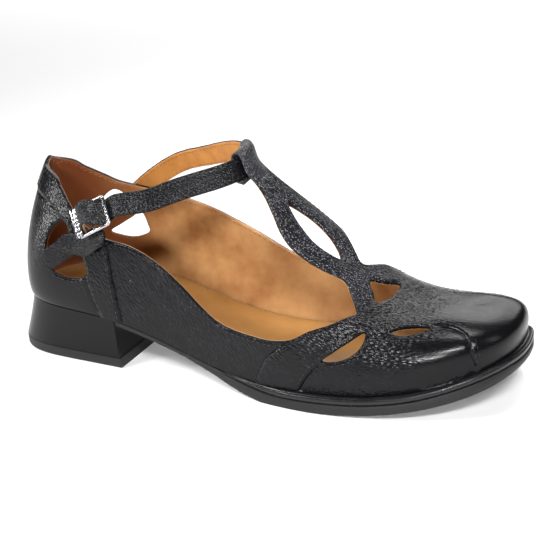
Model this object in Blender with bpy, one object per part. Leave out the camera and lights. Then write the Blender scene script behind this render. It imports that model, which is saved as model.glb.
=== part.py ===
# Right-foot T strap shoe with a low block heel and a buckled ankle strap.
# Metres, +Z up, +X toward the toe, +Y the medial side (inner side of the foot).
# Lengths in this file are millimetres, which to_world turns into metres.
import math

import bmesh
import bpy
import numpy as np
from mathutils import Vector, geometry

# Driving dimensions, millimetres
SOLE_BACK = -2.0
SOLE_TOE = 248.7
ORIGIN_X = 123.35
ORIGIN_Y = -1.14
GAP = 0.35
UPPER_SEAT = 0.55
WALL = 1.6
OVERLAY = 0.9
LIFT_THICK = 5.0
WELT_THICK = 2.8
BREAST_X = 63.0
BREAST_SLANT = 2.0
TOE_SPRING = 17.0
SPRING_START = 162.0
INSOLE_THICK = 2.2
STRAP_WIDTH = 10.2
STRAP_THICK = 1.7
BUCKLE_LENGTH = 20.0
BUCKLE_HEIGHT = 14.6
MESH_STEP = 5.0

# The last: one row every 15 degrees of the heel-to-toe angle.
# sole_m and sole_l are half widths of the ground outline, medial and lateral.
# inset_m and inset_l bring that outline in to the feather line of the upper.
# seat is the height of the feather line, crown the ridge line over the foot,
# bulge the roundness of the wall and wall the squareness of the section.
COLUMNS = ("sole_m", "sole_l", "inset_m", "inset_l", "seat",
           "crown_x", "crown_y", "crown_z", "bulge", "wall")
ROWS = (
    (0.0, 0.0, 5.5, 5.5, 26.3, 24, 0, 108, 3.4, 1.50),
    (16.5, -16.5, 5.2, 5.2, 26.3, 26, 0, 108, 3.4, 1.50),
    (25.5, -25.5, 3.0, 3.0, 26.1, 34, 0, 109, 3.4, 1.45),
    (27.5, -28.2, 1.0, 1.0, 25.5, 51, 0, 112, 3.2, 1.25),
    (27.5, -29.5, 0.0, 0.0, 24.0, 75, 0, 116, 2.6, 1.00),
    (25.5, -32.0, 0.0, 0.0, 17.5, 102, 0, 113, 2.2, 0.82),
    (29.5, -37.0, 1.0, 1.5, 9.6, 127, 0, 94, 2.0, 0.80),
    (37.0, -41.5, 3.0, 3.2, 8.0, 154, 0, 68.8, 2.0, 0.78),
    (39.5, -40.5, 3.3, 3.3, 9.3, 180, 0, 47.5, 1.8, 0.80),
    (37.5, -36.0, 3.3, 3.3, 13.5, 203, 1, 39.5, 1.5, 0.70),
    (33.0, -27.0, 3.3, 3.3, 19.0, 217, 3, 38.2, 1.2, 0.56),
    (26.5, -13.0, 3.3, 3.3, 22.5, 225, 5, 38.2, 1.0, 0.52),
    (7.0, 7.0, 3.3, 3.3, 23.6, 227, 6, 37.6, 1.0, 0.52),
)


def natural_spline(values, t):
    """Natural cubic through equally spaced values, read at t."""
    values = np.asarray(values, float)
    n = len(values)
    system = np.zeros((n, n))
    right = np.zeros(n)
    system[0, 0] = system[-1, -1] = 1.0
    for i in range(1, n - 1):
        system[i, i - 1:i + 2] = (1.0, 4.0, 1.0)
        right[i] = 6.0 * (values[i - 1] - 2.0 * values[i] + values[i + 1])
    bend = np.linalg.solve(system, right)
    t = np.asarray(t, float)
    i = np.clip(np.floor(t).astype(int), 0, n - 2)
    u = t - i
    flat = (1 - u) * values[i] + u * values[i + 1]
    return flat + ((u ** 3 - u) * bend[i + 1] + ((1 - u) ** 3 - (1 - u)) * bend[i]) / 6.0


def column(name, angle):
    """One column of the last table at an angle in degrees."""
    values = [row[COLUMNS.index(name)] for row in ROWS]
    return natural_spline(values, np.asarray(angle, float) / 15.0)


def smooth_step(value, low, high):
    t = np.clip((np.asarray(value, float) - low) / (high - low), 0.0, 1.0)
    return t * t * (3.0 - 2.0 * t)


def ground_outline(angle, side):
    """Outline of the shoe on the ground; side is +1 medial, -1 lateral."""
    span = SOLE_TOE - SOLE_BACK
    x = SOLE_BACK + span * (1.0 - np.cos(np.radians(angle))) / 2.0
    return x, column("sole_m" if side > 0 else "sole_l", angle)


def outline_normal(angle, side):
    x0, y0 = ground_outline(np.maximum(angle - 0.25, 0.0), side)
    x1, y1 = ground_outline(np.minimum(angle + 0.25, 180.0), side)
    length = np.hypot(x1 - x0, y1 - y0)
    return -side * (y1 - y0) / length, side * (x1 - x0) / length


def feather(angle, side):
    """Feather line, where the wall of the upper meets the sole."""
    x, y = ground_outline(angle, side)
    nx, ny = outline_normal(angle, side)
    inset = column("inset_m" if side > 0 else "inset_l", angle)
    return x - nx * inset, y - ny * inset, column("seat", angle), nx, ny


def profile(angle, side):
    """Section of the last from the feather line to the crown, with its girth."""
    angle = np.atleast_1d(np.asarray(angle, float))
    x, y, z, nx, ny = (value[:, None] for value in feather(angle, side))
    crown = [column(name, angle)[:, None] for name in ("crown_x", "crown_y", "crown_z")]
    wall = column("wall", angle)[:, None]
    turn = (math.pi / 2) * (1.0 - np.cos(np.linspace(0.0, math.pi, 57))) / 2.0
    across = 1.0 - np.clip(np.cos(turn), 0.0, 1.0)[None, :] ** wall
    rise = np.sin(turn)[None, :] ** wall
    share = turn / (math.pi / 2)
    bulge = column("bulge", angle)[:, None] * np.sin(math.pi * np.clip(share / 0.65, 0, 1))
    px = x + (crown[0] - x) * across + nx * bulge
    py = y + (crown[1] - y) * across + ny * bulge
    pz = z + (crown[2] - z) * rise
    step = np.sqrt(np.diff(px) ** 2 + np.diff(py) ** 2 + np.diff(pz) ** 2)
    girth = np.concatenate([np.zeros((len(angle), 1)), np.cumsum(step, axis=1)], axis=1)
    return px, py, pz, girth


def last_point(angle, height, side):
    """Point of the last at a heel-to-toe angle and a share of the girth."""
    px, py, pz, girth = profile(angle, side)
    height = np.broadcast_to(np.asarray(height, float), (len(px),))
    out = np.empty((len(px), 3))
    for i in range(len(px)):
        want = height[i] * girth[i, -1]
        out[i] = [np.interp(want, girth[i], p[i]) for p in (px, py, pz)]
    return out


def last_surface(angle, cross):
    """Points and outward normals; cross is -1 lateral feather, 0 crown, 1 medial."""
    angle = np.asarray(angle, float)
    cross = np.asarray(cross, float)
    points = np.empty((len(angle), 3))
    normals = np.empty((len(angle), 3))
    for side in (-1, 1):
        keep = cross >= 0 if side > 0 else cross < 0
        if not keep.any():
            continue
        a = angle[keep]
        v = 1.0 - np.abs(cross[keep])
        points[keep] = last_point(a, v, side)
        v0 = np.clip(v - 0.01, 0.0, 0.985)
        a0 = np.clip(a, 1.0, 179.0)
        along = last_point(a0 + 1.0, v0 + 0.005, side) - last_point(a0 - 1.0, v0 + 0.005, side)
        up = last_point(a0, v0 + 0.012, side) - last_point(a0, v0, side)
        normal = np.cross(along, up) * (-side)
        normals[keep] = normal / np.linalg.norm(normal, axis=1, keepdims=True)
    return points, normals


def unroll(angle, cross):
    """Flat pattern of the whole last: the crown is a line, the feather a ring."""
    angle = np.asarray(angle, float)
    cross = np.asarray(cross, float)
    flat = np.empty((len(angle), 2))
    for side in (-1, 1):
        keep = cross >= 0 if side > 0 else cross < 0
        if not keep.any():
            continue
        a = angle[keep]
        fx, fy, _, _, _ = feather(a, side)
        cx, cy = column("crown_x", a), column("crown_y", a)
        length = np.hypot(fx - cx, fy - cy)
        girth = profile(a, side)[3][:, -1]
        reach = np.abs(cross[keep]) * girth / length
        flat[keep, 0] = cx + (fx - cx) * reach
        flat[keep, 1] = cy + (fy - cy) * reach
    return flat


def find_spot(side, x, level, by):
    """Angle and cross of the point of the last at a length x and a height or width."""
    axis = {"z": 2, "y": 1}[by]
    low, high = 0.0, 180.0
    height = 0.0
    for _ in range(34):
        angle = (low + high) / 2.0
        px, py, pz, girth = profile(angle, side)
        line = (px, py, pz)[axis][0]
        if by == "z":
            share = np.interp(level, line, girth[0])
        else:
            start = int(np.argmax(np.abs(line)))
            line, part = line[start:], girth[0][start:]
            if side < 0:
                share = np.interp(level, line, part)
            else:
                share = np.interp(-level, -line, part)
        height = share / girth[0, -1]
        here = np.interp(share, girth[0], px[0])
        if here < x:
            low = angle
        else:
            high = angle
    return angle, side * (1.0 - height)


def curve_run(spots, step, closed=False):
    """Rounded line through pattern spots, a point about every step millimetres."""
    spots = np.asarray(spots, float)
    n = len(spots)
    dense = []
    last = n if closed else n - 1
    for i in range(last):
        ring = [spots[(i + k) % n] for k in (-1, 0, 1, 2)]
        if not closed and i == 0:
            ring[0] = 2 * spots[0] - spots[1]
        if not closed and i == last - 1:
            ring[3] = 2 * spots[-1] - spots[-2]
        for u in np.linspace(0.0, 1.0, 12, endpoint=False):
            m1 = (ring[2] - ring[0]) / 2.0
            m2 = (ring[3] - ring[1]) / 2.0
            h = (2 * u ** 3 - 3 * u ** 2 + 1, u ** 3 - 2 * u ** 2 + u,
                 -2 * u ** 3 + 3 * u ** 2, u ** 3 - u ** 2)
            dense.append(h[0] * ring[1] + h[1] * m1 + h[2] * ring[2] + h[3] * m2)
    dense.append(spots[0] if closed else spots[-1])
    dense = np.array(dense)
    dense[:, 0] = np.clip(dense[:, 0], 0.0, 180.0)
    place, _ = last_surface(dense[:, 0], dense[:, 1])
    length = np.concatenate([[0], np.cumsum(np.linalg.norm(np.diff(place, axis=0), axis=1))])
    count = max(2, int(round(length[-1] / step)))
    at = np.linspace(0.0, length[-1], count + 1)
    line = np.stack([np.interp(at, length, dense[:, k]) for k in (0, 1)], axis=1)
    return line[:-1] if closed else line


def spots_of(side, by, table):
    return [find_spot(side, x, level, by) for x, level in table]


# Pattern lines of the upper: length from the heel, then height z or width y.
LATERAL_COLLAR = ((24, 87), (32, 82), (38, 77), (44, 72), (53, 66.5), (62, 64), (75, 62.5),
                  (89, 57), (102, 48), (110, 41), (118, 35), (126, 32), (136, 30.5),
                  (147, 30), (157, 32), (165, 36.5))
MEDIAL_COLLAR = ((21, 86.5), (26, 81.5), (33, 76.5), (40, 72.5), (56, 69), (73, 66.5), (90, 62.5),
                 (102, 57.5), (113, 52), (123, 46), (133, 40.5), (144, 36.5), (156, 35.5), (165, 37.5))
THROAT_LATERAL = ((174, -33.3), (180, -28))
LEG_OUTER_LATERAL = ((183, -24.5), (178, -18.5), (173, -14.0), (166, -17), (159, -19.4),
                     (152, -20.0), (146, -18.2), (140, -13.5), (134, -9.0), (127.6, -6.6))
LEG_OUTER_MEDIAL = ((127.6, 7.0), (134, 8.8), (140.7, 12.4), (146, 15.8), (152, 17.6), (157.5, 17.2),
                    (162.2, 13.9), (166.3, 10.2), (169.8, 6.8), (173.0, 4.4), (175.2, 7.4), (177, 12.4),
                    (178.8, 19), (181, 24), (183.5, 27.5))
THROAT_MEDIAL = ((180, 31.5), (174, 34.5))
EYE_HOLE = ((142, -2.2), (148, 2.2), (154, 4.0), (160, 3.2), (165.5, -0.5), (167, -4.5),
            (163.5, -7.6), (157, -9.6), (150, -8.0), (145, -5.2))
TRIANGLE_HOLE = ((179.5, -2), (184.5, 3.5), (189.2, 8.5), (190.6, 3.5), (191.2, -2.5), (190.4, -8.5),
                 (187.6, -14.5), (184.5, -10))
WINDOW_UPPER = ((36, 68.5), (39.8, 65.2), (33, 58.6), (25.6, 52.6), (25.2, 57), (28, 62.5), (31.5, 66.2))
WINDOW_LOWER = ((47.2, 56), (49.8, 49), (50, 45.6), (45, 43), (40, 42), (34, 42.6), (28.8, 44.4),
                (35, 48.6), (41.5, 52.8))
SLOT_SIDE = ((171.4, 24.2), (177, 28.8), (183, 33.2), (188.2, 36.4), (188.6, 33), (186.2, 29.2),
             (182, 26.2), (177, 24.4))
SLOT_TOP = ((198.6, -25.6), (203, -22.6), (208.5, -20.2), (213.6, -18.6), (209.5, -21.8), (204, -25.2))
SLOT_SIDE_MEDIAL = ((171.4, 19.7), (177, 24.0), (183, 28.2), (188.2, 31.4), (188.6, 28), (186.2, 24.4),
                    (182, 21.6), (177, 20.0))
SLOT_TOP_MEDIAL = ((198.6, 30.6), (203, 28.6), (208.5, 26.8), (213.6, 25.6), (209.5, 28.2), (204, 30.8))

# Seams of the raised pieces: collar band, and throat band with the toe cap.
COLLAR_SEAM = ((6, 80), (12, 79), (24, 75), (34, 69.5), (42, 62.5), (46.5, 55), (48.5, 46), (51.5, 34),
               (54.5, 26))
BAND_FRONT = ((62, 61.5), (63.2, 50), (64.6, 37), (66, 25))
QUARTER_SEAM = ((155.5, 30.5), (150.5, 27), (144.2, 21), (140.4, 14.5), (138.4, 9.5))
WING_REAR = ((169.6, 22.6), (165.4, 17.5), (162, 12.5), (160.4, 9.5))
WING_TOP = ((190.4, -30.4), (195, -27.6))
CAP_SEAM = ((216, -16.2), (221.5, -16.2), (227, -17.6), (231, -20.2))
WING_REAR_MEDIAL = ((170.2, 18.4), (166.2, 15.0), (163, 11.8), (161.2, 9.5))
WING_TOP_MEDIAL = ((190.4, 34.0), (195, 32.2))
CAP_SEAM_MEDIAL = ((216, 24.6), (221.5, 24.6), (227, 25.2), (231, 26.0))
CAP_SIDE = ((232.6, 31), (234.4, 24.5))


def inside(flat, ring):
    """Even-odd test of flat points against one closed ring."""
    x, y = flat[:, 0], flat[:, 1]
    result = np.zeros(len(flat), bool)
    for a, b in zip(ring, np.roll(ring, -1, axis=0)):
        crosses = (a[1] > y) != (b[1] > y)
        slope = (b[0] - a[0]) / (b[1] - a[1] + 1e-12)
        result ^= crosses & (x < a[0] + slope * (y - a[1]))
    return result


def edge_distance(flat, ring):
    """Distance of flat points to a closed ring."""
    best = np.full(len(flat), 1e9)
    for a, b in zip(ring, np.roll(ring, -1, axis=0)):
        d = b - a
        t = np.clip(((flat - a) @ d) / (d @ d + 1e-12), 0.0, 1.0)
        best = np.minimum(best, np.linalg.norm(flat - (a + t[:, None] * d), axis=1))
    return best


def pattern_grid(step):
    """Spots over the whole last, about step millimetres apart."""
    spots = []
    dense = np.linspace(0.0, 180.0, 721)
    for side in (-1, 1):
        fx, fy, _, _, _ = feather(dense, side)
        run = np.concatenate([[0], np.cumsum(np.hypot(np.diff(fx), np.diff(fy)))])
        count = int(run[-1] / step)
        angles = np.interp(np.linspace(0, run[-1], count + 1)[1:-1], run, dense)
        girth = profile(angles, side)[3][:, -1]
        for i, (angle, length) in enumerate(zip(angles, girth)):
            rows = int(length / step)
            for k in range(1, rows + 1):
                share = (k - (0.5 if i % 2 else 0.0)) * step / length
                if 0.0 < share < 0.985:
                    spots.append((angle, side * (1.0 - share)))
    return np.array(spots)


def free_runs(guides, flats):
    """Stretches of the guide lines that keep clear of every edge and of each other."""
    runs = []
    taken = []
    for guide in guides:
        flat = unroll(guide[:, 0], guide[:, 1])
        good = inside(flat, flats[0])
        for ring in flats[1:]:
            good &= ~inside(flat, ring)
        for ring in flats:
            good &= edge_distance(flat, ring) > 1.4
        for other in taken:
            near = np.linalg.norm(flat[:, None, :] - other[None, :, :], axis=2).min(axis=1)
            good &= near > 0.75
        start = None
        for i in range(len(guide) + 1):
            if i < len(guide) and good[i]:
                start = i if start is None else start
            elif start is not None:
                if i - start > 1:
                    runs.append(guide[start:i])
                    taken.append(flat[start:i])
                start = None
    return runs


def panel_mesh(rings, guides, offset, wall, step):
    """Closed sheet lasted over the last: rings[0] is its edge, the others are holes."""
    flats = [unroll(ring[:, 0], ring[:, 1]) for ring in rings]
    guides = free_runs(guides, flats)
    spots = []
    edges = []
    for ring in rings:
        base = len(spots)
        spots += [tuple(s) for s in ring]
        edges += [(base + i, base + (i + 1) % len(ring)) for i in range(len(ring))]
    lines = list(flats)
    for guide in guides:
        base = len(spots)
        spots += [tuple(s) for s in guide]
        edges += [(base + i, base + i + 1) for i in range(len(guide) - 1)]
        lines.append(unroll(guide[:, 0], guide[:, 1]))
    grid = pattern_grid(step)
    flat = unroll(grid[:, 0], grid[:, 1])
    keep = inside(flat, flats[0])
    for ring in flats[1:]:
        keep &= ~inside(flat, ring)
    for ring in lines:
        keep &= edge_distance(flat, ring) > step * 0.45
    spots += [tuple(s) for s in grid[keep]]
    spots = np.array(spots)
    flat = unroll(spots[:, 0], spots[:, 1])
    cut = geometry.delaunay_2d_cdt([Vector(p) for p in flat], edges, [], 0, 1e-5)
    new_flat = np.array([tuple(p) for p in cut[0]])
    source = [ids[0] if ids else -1 for ids in cut[3]]
    if min(source) < 0:
        raise ValueError("pattern lines cross")
    triangles = np.array([f for f in cut[2] if len(f) == 3])
    centre = new_flat[triangles].mean(axis=1)
    good = inside(centre, flats[0])
    for ring in flats[1:]:
        good &= ~inside(centre, ring)
    triangles = triangles[good]
    spots = spots[source]
    points, normals = last_surface(spots[:, 0], spots[:, 1])
    outer = points + normals * offset(new_flat)[:, None]
    inner = points - normals * wall
    return outer, inner, triangles


def solid_from_sheet(name, outer, inner, triangles, material):
    """Closed body between two copies of one triangulated sheet."""
    mesh = bmesh.new()
    tops = [mesh.verts.new(to_world(p)) for p in outer]
    bottoms = [mesh.verts.new(to_world(p)) for p in inner]
    count = {}
    for tri in triangles:
        for a, b in ((tri[0], tri[1]), (tri[1], tri[2]), (tri[2], tri[0])):
            count[(a, b)] = count.get((a, b), 0) + 1
    for a, b, c in triangles:
        mesh.faces.new((tops[a], tops[b], tops[c]))
        mesh.faces.new((bottoms[c], bottoms[b], bottoms[a]))
    for a, b in count:
        if (b, a) not in count:
            mesh.faces.new((tops[b], tops[a], bottoms[a], bottoms[b]))
    loose = [v for v in mesh.verts if not v.link_faces]
    bmesh.ops.delete(mesh, geom=loose, context="VERTS")
    return finish_object(name, mesh, material)


def to_world(point):
    return ((point[0] - ORIGIN_X) / 1000.0, (point[1] - ORIGIN_Y) / 1000.0, point[2] / 1000.0)


def make_material(name, color, roughness, metallic=0.0):
    material = bpy.data.materials.new(name)
    material.use_nodes = True
    shader = material.node_tree.nodes["Principled BSDF"]
    shader.inputs["Base Color"].default_value = (*color, 1.0)
    shader.inputs["Roughness"].default_value = roughness
    shader.inputs["Metallic"].default_value = metallic
    return material


def finish_object(name, mesh, material):
    bmesh.ops.recalc_face_normals(mesh, faces=mesh.faces[:])
    data = bpy.data.meshes.new(name)
    mesh.to_mesh(data)
    mesh.free()
    data.shade_smooth()
    data.set_sharp_from_angle(angle=math.radians(40))
    data.materials.append(material)
    item = bpy.data.objects.new(name, data)
    bpy.context.scene.collection.objects.link(item)
    return item


def plate_outline(flare, start, end, step):
    """Closed plan outline between two angles, flare millimetres outside the feather."""
    dense = np.linspace(start, end, 241)
    sides = []
    for side in (-1, 1):
        x, y, _, nx, ny = feather(dense, side)
        out = flare(dense, side)
        x, y = x + nx * out, y + ny * out
        run = np.concatenate([[0], np.cumsum(np.hypot(np.diff(x), np.diff(y)))])
        at = np.linspace(0, run[-1], int(run[-1] / step) + 1)
        sides.append(np.stack([np.interp(at, run, x), np.interp(at, run, y)], axis=1))
    lateral, medial = sides
    ring = list(lateral)
    if np.linalg.norm(lateral[-1] - medial[-1]) < 0.5:
        medial = medial[:-1]
    if np.linalg.norm(lateral[0] - medial[0]) < 0.5:
        medial = medial[1:]
    elif start > 0:
        gap = np.linalg.norm(lateral[0] - medial[0])
        pieces = int(gap / step) + 1
        cross = [medial[0] + (lateral[0] - medial[0]) * k / pieces for k in range(1, pieces)]
        return np.array(ring + list(medial[::-1]) + cross)
    return np.array(ring + list(medial[::-1]))


def plate(name, ring, top, bottom, step, material):
    """Closed plate over a plan outline, its faces at heights read from x."""
    low, high = ring.min(axis=0), ring.max(axis=0)
    grid = []
    for i, x in enumerate(np.arange(low[0] + step, high[0], step)):
        for y in np.arange(low[1] + (step / 2 if i % 2 else step), high[1], step * 1.15):
            grid.append((x, y))
    grid = np.array(grid)
    keep = inside(grid, ring) & (edge_distance(grid, ring) > step * 0.45)
    flat = np.concatenate([ring, grid[keep]])
    edges = [(i, (i + 1) % len(ring)) for i in range(len(ring))]
    cut = geometry.delaunay_2d_cdt([Vector(p) for p in flat], edges, [], 0, 1e-5)
    plan = np.array([tuple(p) for p in cut[0]])
    triangles = np.array([f for f in cut[2]])
    triangles = triangles[inside(plan[triangles].mean(axis=1), ring)]
    upper = np.column_stack([plan, top(plan[:, 0])])
    lower = np.column_stack([plan, bottom(plan[:, 0])])
    return solid_from_sheet(name, upper, lower, triangles, material)


def strip(name, spine, width, thickness, material):
    """Flat strap along a spine of (point, across direction) rows."""
    mesh = bmesh.new()
    rows = []
    points = np.array([p for p, _ in spine])
    acrosses = np.array([a / np.linalg.norm(a) for _, a in spine])
    for i in range(len(points)):
        ahead = points[min(i + 1, len(points) - 1)] - points[max(i - 1, 0)]
        ahead /= np.linalg.norm(ahead)
        across = acrosses[i] - ahead * (acrosses[i] @ ahead)
        across /= np.linalg.norm(across)
        normal = np.cross(ahead, across)
        w = width / 2.0
        corners = [(-w, -1), (0, -1), (w, -1), (w, 1), (0, 1), (-w, 1)]
        rows.append([mesh.verts.new(to_world(points[i] + across * a + normal * b * thickness / 2))
                     for a, b in corners])
    for one, two in zip(rows, rows[1:]):
        for k in range(6):
            mesh.faces.new((one[k], one[(k + 1) % 6], two[(k + 1) % 6], two[k]))
    mesh.faces.new(rows[0][::-1])
    mesh.faces.new(rows[-1])
    return finish_object(name, mesh, material)


def through(points, count):
    """Rounded path through control rows, evenly read."""
    points = np.asarray(points, float)
    t = np.linspace(0, len(points) - 1, 40 * len(points))
    dense = np.stack([natural_spline(points[:, k], t) for k in range(points.shape[1])], axis=1)
    run = np.concatenate([[0], np.cumsum(np.linalg.norm(np.diff(dense[:, :3], axis=0), axis=1))])
    at = np.linspace(0, run[-1], count)
    return np.stack([np.interp(at, run, dense[:, k]) for k in range(points.shape[1])], axis=1)


def ring_bar(name, corners, centre, axis_u, axis_v, normal, depth, half, material):
    """Closed rectangular ring: corners is (half length, half height), half the bar width."""
    mesh = bmesh.new()
    outer_u, outer_v = corners
    loops = []
    for level in (-depth / 2, depth / 2):
        for grow in (0.0, -half):
            ring = []
            bevel = 1.6 if grow == 0.0 else 0.8
            u, v = outer_u + grow, outer_v + grow
            shape = [(-u + bevel, -v), (u - bevel, -v), (u, -v + bevel), (u, v - bevel),
                     (u - bevel, v), (-u + bevel, v), (-u, v - bevel), (-u, -v + bevel)]
            for a, b in shape:
                ring.append(mesh.verts.new(to_world(centre + axis_u * a + axis_v * b + normal * level)))
            loops.append(ring)
    low_out, low_in, high_out, high_in = loops
    for one, two in ((low_out, high_out), (high_out, high_in), (high_in, low_in), (low_in, low_out)):
        for k in range(8):
            mesh.faces.new((one[k], one[(k + 1) % 8], two[(k + 1) % 8], two[k]))
    return finish_object(name, mesh, material)


for item in list(bpy.data.objects):
    bpy.data.objects.remove(item, do_unlink=True)

black_leather = make_material("black_leather", (0.012, 0.012, 0.014), 0.42)
black_rubber = make_material("black_rubber", (0.010, 0.010, 0.011), 0.75)
tan_leather = make_material("tan_leather", (0.43, 0.21, 0.075), 0.6)
bright_metal = make_material("bright_metal", (0.55, 0.55, 0.56), 0.18, 1.0)

# Heights along the shoe
dense_angle = np.linspace(0.0, 180.0, 721)
FEATHER_X, FEATHER_Z = feather(dense_angle, -1)[0], feather(dense_angle, -1)[2]


def seat_height(x):
    return np.interp(x, FEATHER_X, FEATHER_Z)


def ground_curve(x):
    """Underside of the outsole: thin in the waist, flat at the ball, rising to the toe."""
    x = np.asarray(x, float)
    edge = np.interp(x, (0, 100, 115, 130, 142), (2.2, 2.2, 3.6, 6.6, 8.2))
    spring = TOE_SPRING * np.clip((x - SPRING_START) / (SOLE_TOE - SPRING_START), 0, 1) ** 2
    return np.where(x < 142, np.maximum(seat_height(x) - edge, 0.0), spring)


def welt_height(x):
    """Thickness of the welt, which fades out in the waist."""
    return 0.9 + (WELT_THICK - 0.9) * smooth_step(x, 122, 152)


def sole_flare(angle, side):
    inset = column("inset_m" if side > 0 else "inset_l", angle)
    share = smooth_step(angle, 70.0, 100.0)
    return inset * share - 0.5 * (1.0 - share)


def outsole_top(x):
    cover = np.where(np.asarray(x) > 120.0, welt_height(x) + GAP, 0.0)
    return seat_height(x) - cover


SOLE_STEP = 6.0
ring = plate_outline(sole_flare, 0.0, 180.0, SOLE_STEP)
plate("outsole", ring, outsole_top, ground_curve, SOLE_STEP, black_rubber)

WELT_ANGLE = 90.0
ring = plate_outline(sole_flare, WELT_ANGLE, 180.0, SOLE_STEP)
plate("welt", ring, seat_height, lambda x: seat_height(x) - welt_height(x), SOLE_STEP, black_leather)


# Heel block and top lift
def heel_outline(flare, breast, step):
    """Plan outline of a heel section, closed by its straight breast."""
    end = np.degrees(np.arccos(1.0 - 2.0 * (breast - SOLE_BACK) / (SOLE_TOE - SOLE_BACK)))
    dense = np.linspace(0.0, end, 181)
    points = []
    for side in (-1, 1):
        x, y, _, nx, ny = feather(dense, side)
        inset = column("inset_m" if side > 0 else "inset_l", dense)
        out = flare[0] + (inset - flare[0]) * flare[1]
        x, y = np.minimum(x + nx * out, breast), y + ny * out
        run = np.concatenate([[0], np.cumsum(np.hypot(np.diff(x), np.diff(y)))])
        at = np.linspace(0, run[-1], 15)
        points.append(np.stack([np.interp(at, run, x), np.interp(at, run, y)], axis=1))
    lateral, medial = points
    cross = [lateral[-1] + (medial[-1] - lateral[-1]) * k / 8.0 for k in range(1, 8)]
    return np.array(list(lateral) + cross + list(medial[:0:-1]))


def heel_block():
    mesh = bmesh.new()
    loops = []
    for share in (0.0, 0.25, 0.5, 0.75, 1.0):
        grow = share ** 1.15
        ring = heel_outline((-0.4, grow), BREAST_X - BREAST_SLANT * (1 - share), 4.0)
        top = seat_height(ring[:, 0]) - 2.2 - GAP
        z = top + (LIFT_THICK + GAP - top) * share
        loops.append([mesh.verts.new(to_world((p[0], p[1], h))) for p, h in zip(ring, z)])
    n = len(loops[0])
    for one, two in zip(loops, loops[1:]):
        for k in range(n):
            mesh.faces.new((one[k], two[k], two[(k + 1) % n], one[(k + 1) % n]))
    bmesh.ops.triangle_fill(mesh, edges=[mesh.edges.get((loops[0][k], loops[0][(k + 1) % n]))
                                         for k in range(n)], use_beauty=True)
    mesh.faces.new(loops[-1])
    return finish_object("heel", mesh, black_leather)


heel_block()
lift_ring = heel_outline((-0.4, 1.0), BREAST_X, 4.0)
lift_mesh = bmesh.new()
lift_low = [lift_mesh.verts.new(to_world((p[0], p[1], 0.0))) for p in lift_ring]
lift_high = [lift_mesh.verts.new(to_world((p[0], p[1], LIFT_THICK))) for p in lift_ring]
lift_mesh.faces.new(lift_low[::-1])
lift_mesh.faces.new(lift_high)
for k in range(len(lift_low)):
    j = (k + 1) % len(lift_low)
    lift_mesh.faces.new((lift_low[k], lift_low[j], lift_high[j], lift_high[k]))
finish_object("top_lift", lift_mesh, black_rubber)

# Insole inside the walls
ring = plate_outline(lambda a, s: -(WALL + 0.5) * np.ones_like(a), 0.0, 180.0, SOLE_STEP)
plate("insole", ring, lambda x: seat_height(x) + GAP + INSOLE_THICK,
      lambda x: seat_height(x) + GAP, SOLE_STEP, tan_leather)


# Upper: quarters, counter, vamp, toe and T bar in one hollow sheet
def collar_ring():
    """Top edge: collar, both toplines, throat and the T bar standing in it."""
    back = find_back(91.0)
    lateral = [(0.0, -back)] + spots_of(-1, "z", LATERAL_COLLAR) + spots_of(-1, "y", THROAT_LATERAL)
    medial = [(0.0, back)] + spots_of(1, "z", MEDIAL_COLLAR) + spots_of(1, "y", THROAT_MEDIAL[::-1])
    lateral_line = curve_run(lateral, 4.0)
    leg_l = curve_run(spots_of(-1, "y", LEG_OUTER_LATERAL), 3.5)
    leg_m = curve_run(spots_of(1, "y", LEG_OUTER_MEDIAL), 3.5)
    top_end = np.array([leg_l[-1] + (leg_m[0] - leg_l[-1]) * k / 4.0 for k in (1, 2, 3)])
    medial_line = curve_run(medial, 4.0)[::-1]
    return np.concatenate([lateral_line, leg_l, top_end, leg_m, medial_line[:-1]])


def find_back(z):
    px, py, pz, girth = profile(0.0, -1)
    return 1.0 - np.interp(z, pz[0], girth[0]) / girth[0, -1]


def feather_ring():
    dense = np.linspace(0.0, 180.0, 721)
    runs = []
    for side in (-1, 1):
        x, y, _, _, _ = feather(dense, side)
        run = np.concatenate([[0], np.cumsum(np.hypot(np.diff(x), np.diff(y)))])
        at = np.linspace(0, run[-1], int(run[-1] / 5.0) + 1)
        angle = np.interp(at, run, dense)
        runs.append(np.stack([angle, np.full(len(angle), float(side))], axis=1))
    return np.concatenate([runs[0], runs[1][::-1][1:-1]])


def hole_ring(side, by, table, step=3.0):
    return curve_run(spots_of(side, by, table), step, closed=True)


def crown_hole(table, step=3.0):
    """Hole over the crown: the side follows the sign of the width."""
    spots = [find_spot(1 if y >= 0 else -1, x, y, "y") for x, y in table]
    return curve_run(spots, step, closed=True)


def shifted(line, distance):
    """Pattern line moved sideways by a distance in millimetres."""
    flat = unroll(line[:, 0], line[:, 1])
    tangent = np.gradient(flat, axis=0)
    tangent /= np.linalg.norm(tangent, axis=1, keepdims=True)
    want = np.stack([-tangent[:, 1], tangent[:, 0]], axis=1) * distance
    by_angle = (unroll(line[:, 0] + 0.2, line[:, 1]) - flat) / 0.2
    by_cross = (unroll(line[:, 0], line[:, 1] * 0.995) - flat) / (-0.005 * line[:, 1:2])
    area = by_angle[:, 0] * by_cross[:, 1] - by_angle[:, 1] * by_cross[:, 0]
    move_angle = (want[:, 0] * by_cross[:, 1] - want[:, 1] * by_cross[:, 0]) / area
    move_cross = (by_angle[:, 0] * want[:, 1] - by_angle[:, 1] * want[:, 0]) / area
    return np.stack([line[:, 0] + move_angle, line[:, 1] + move_cross], axis=1)


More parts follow.
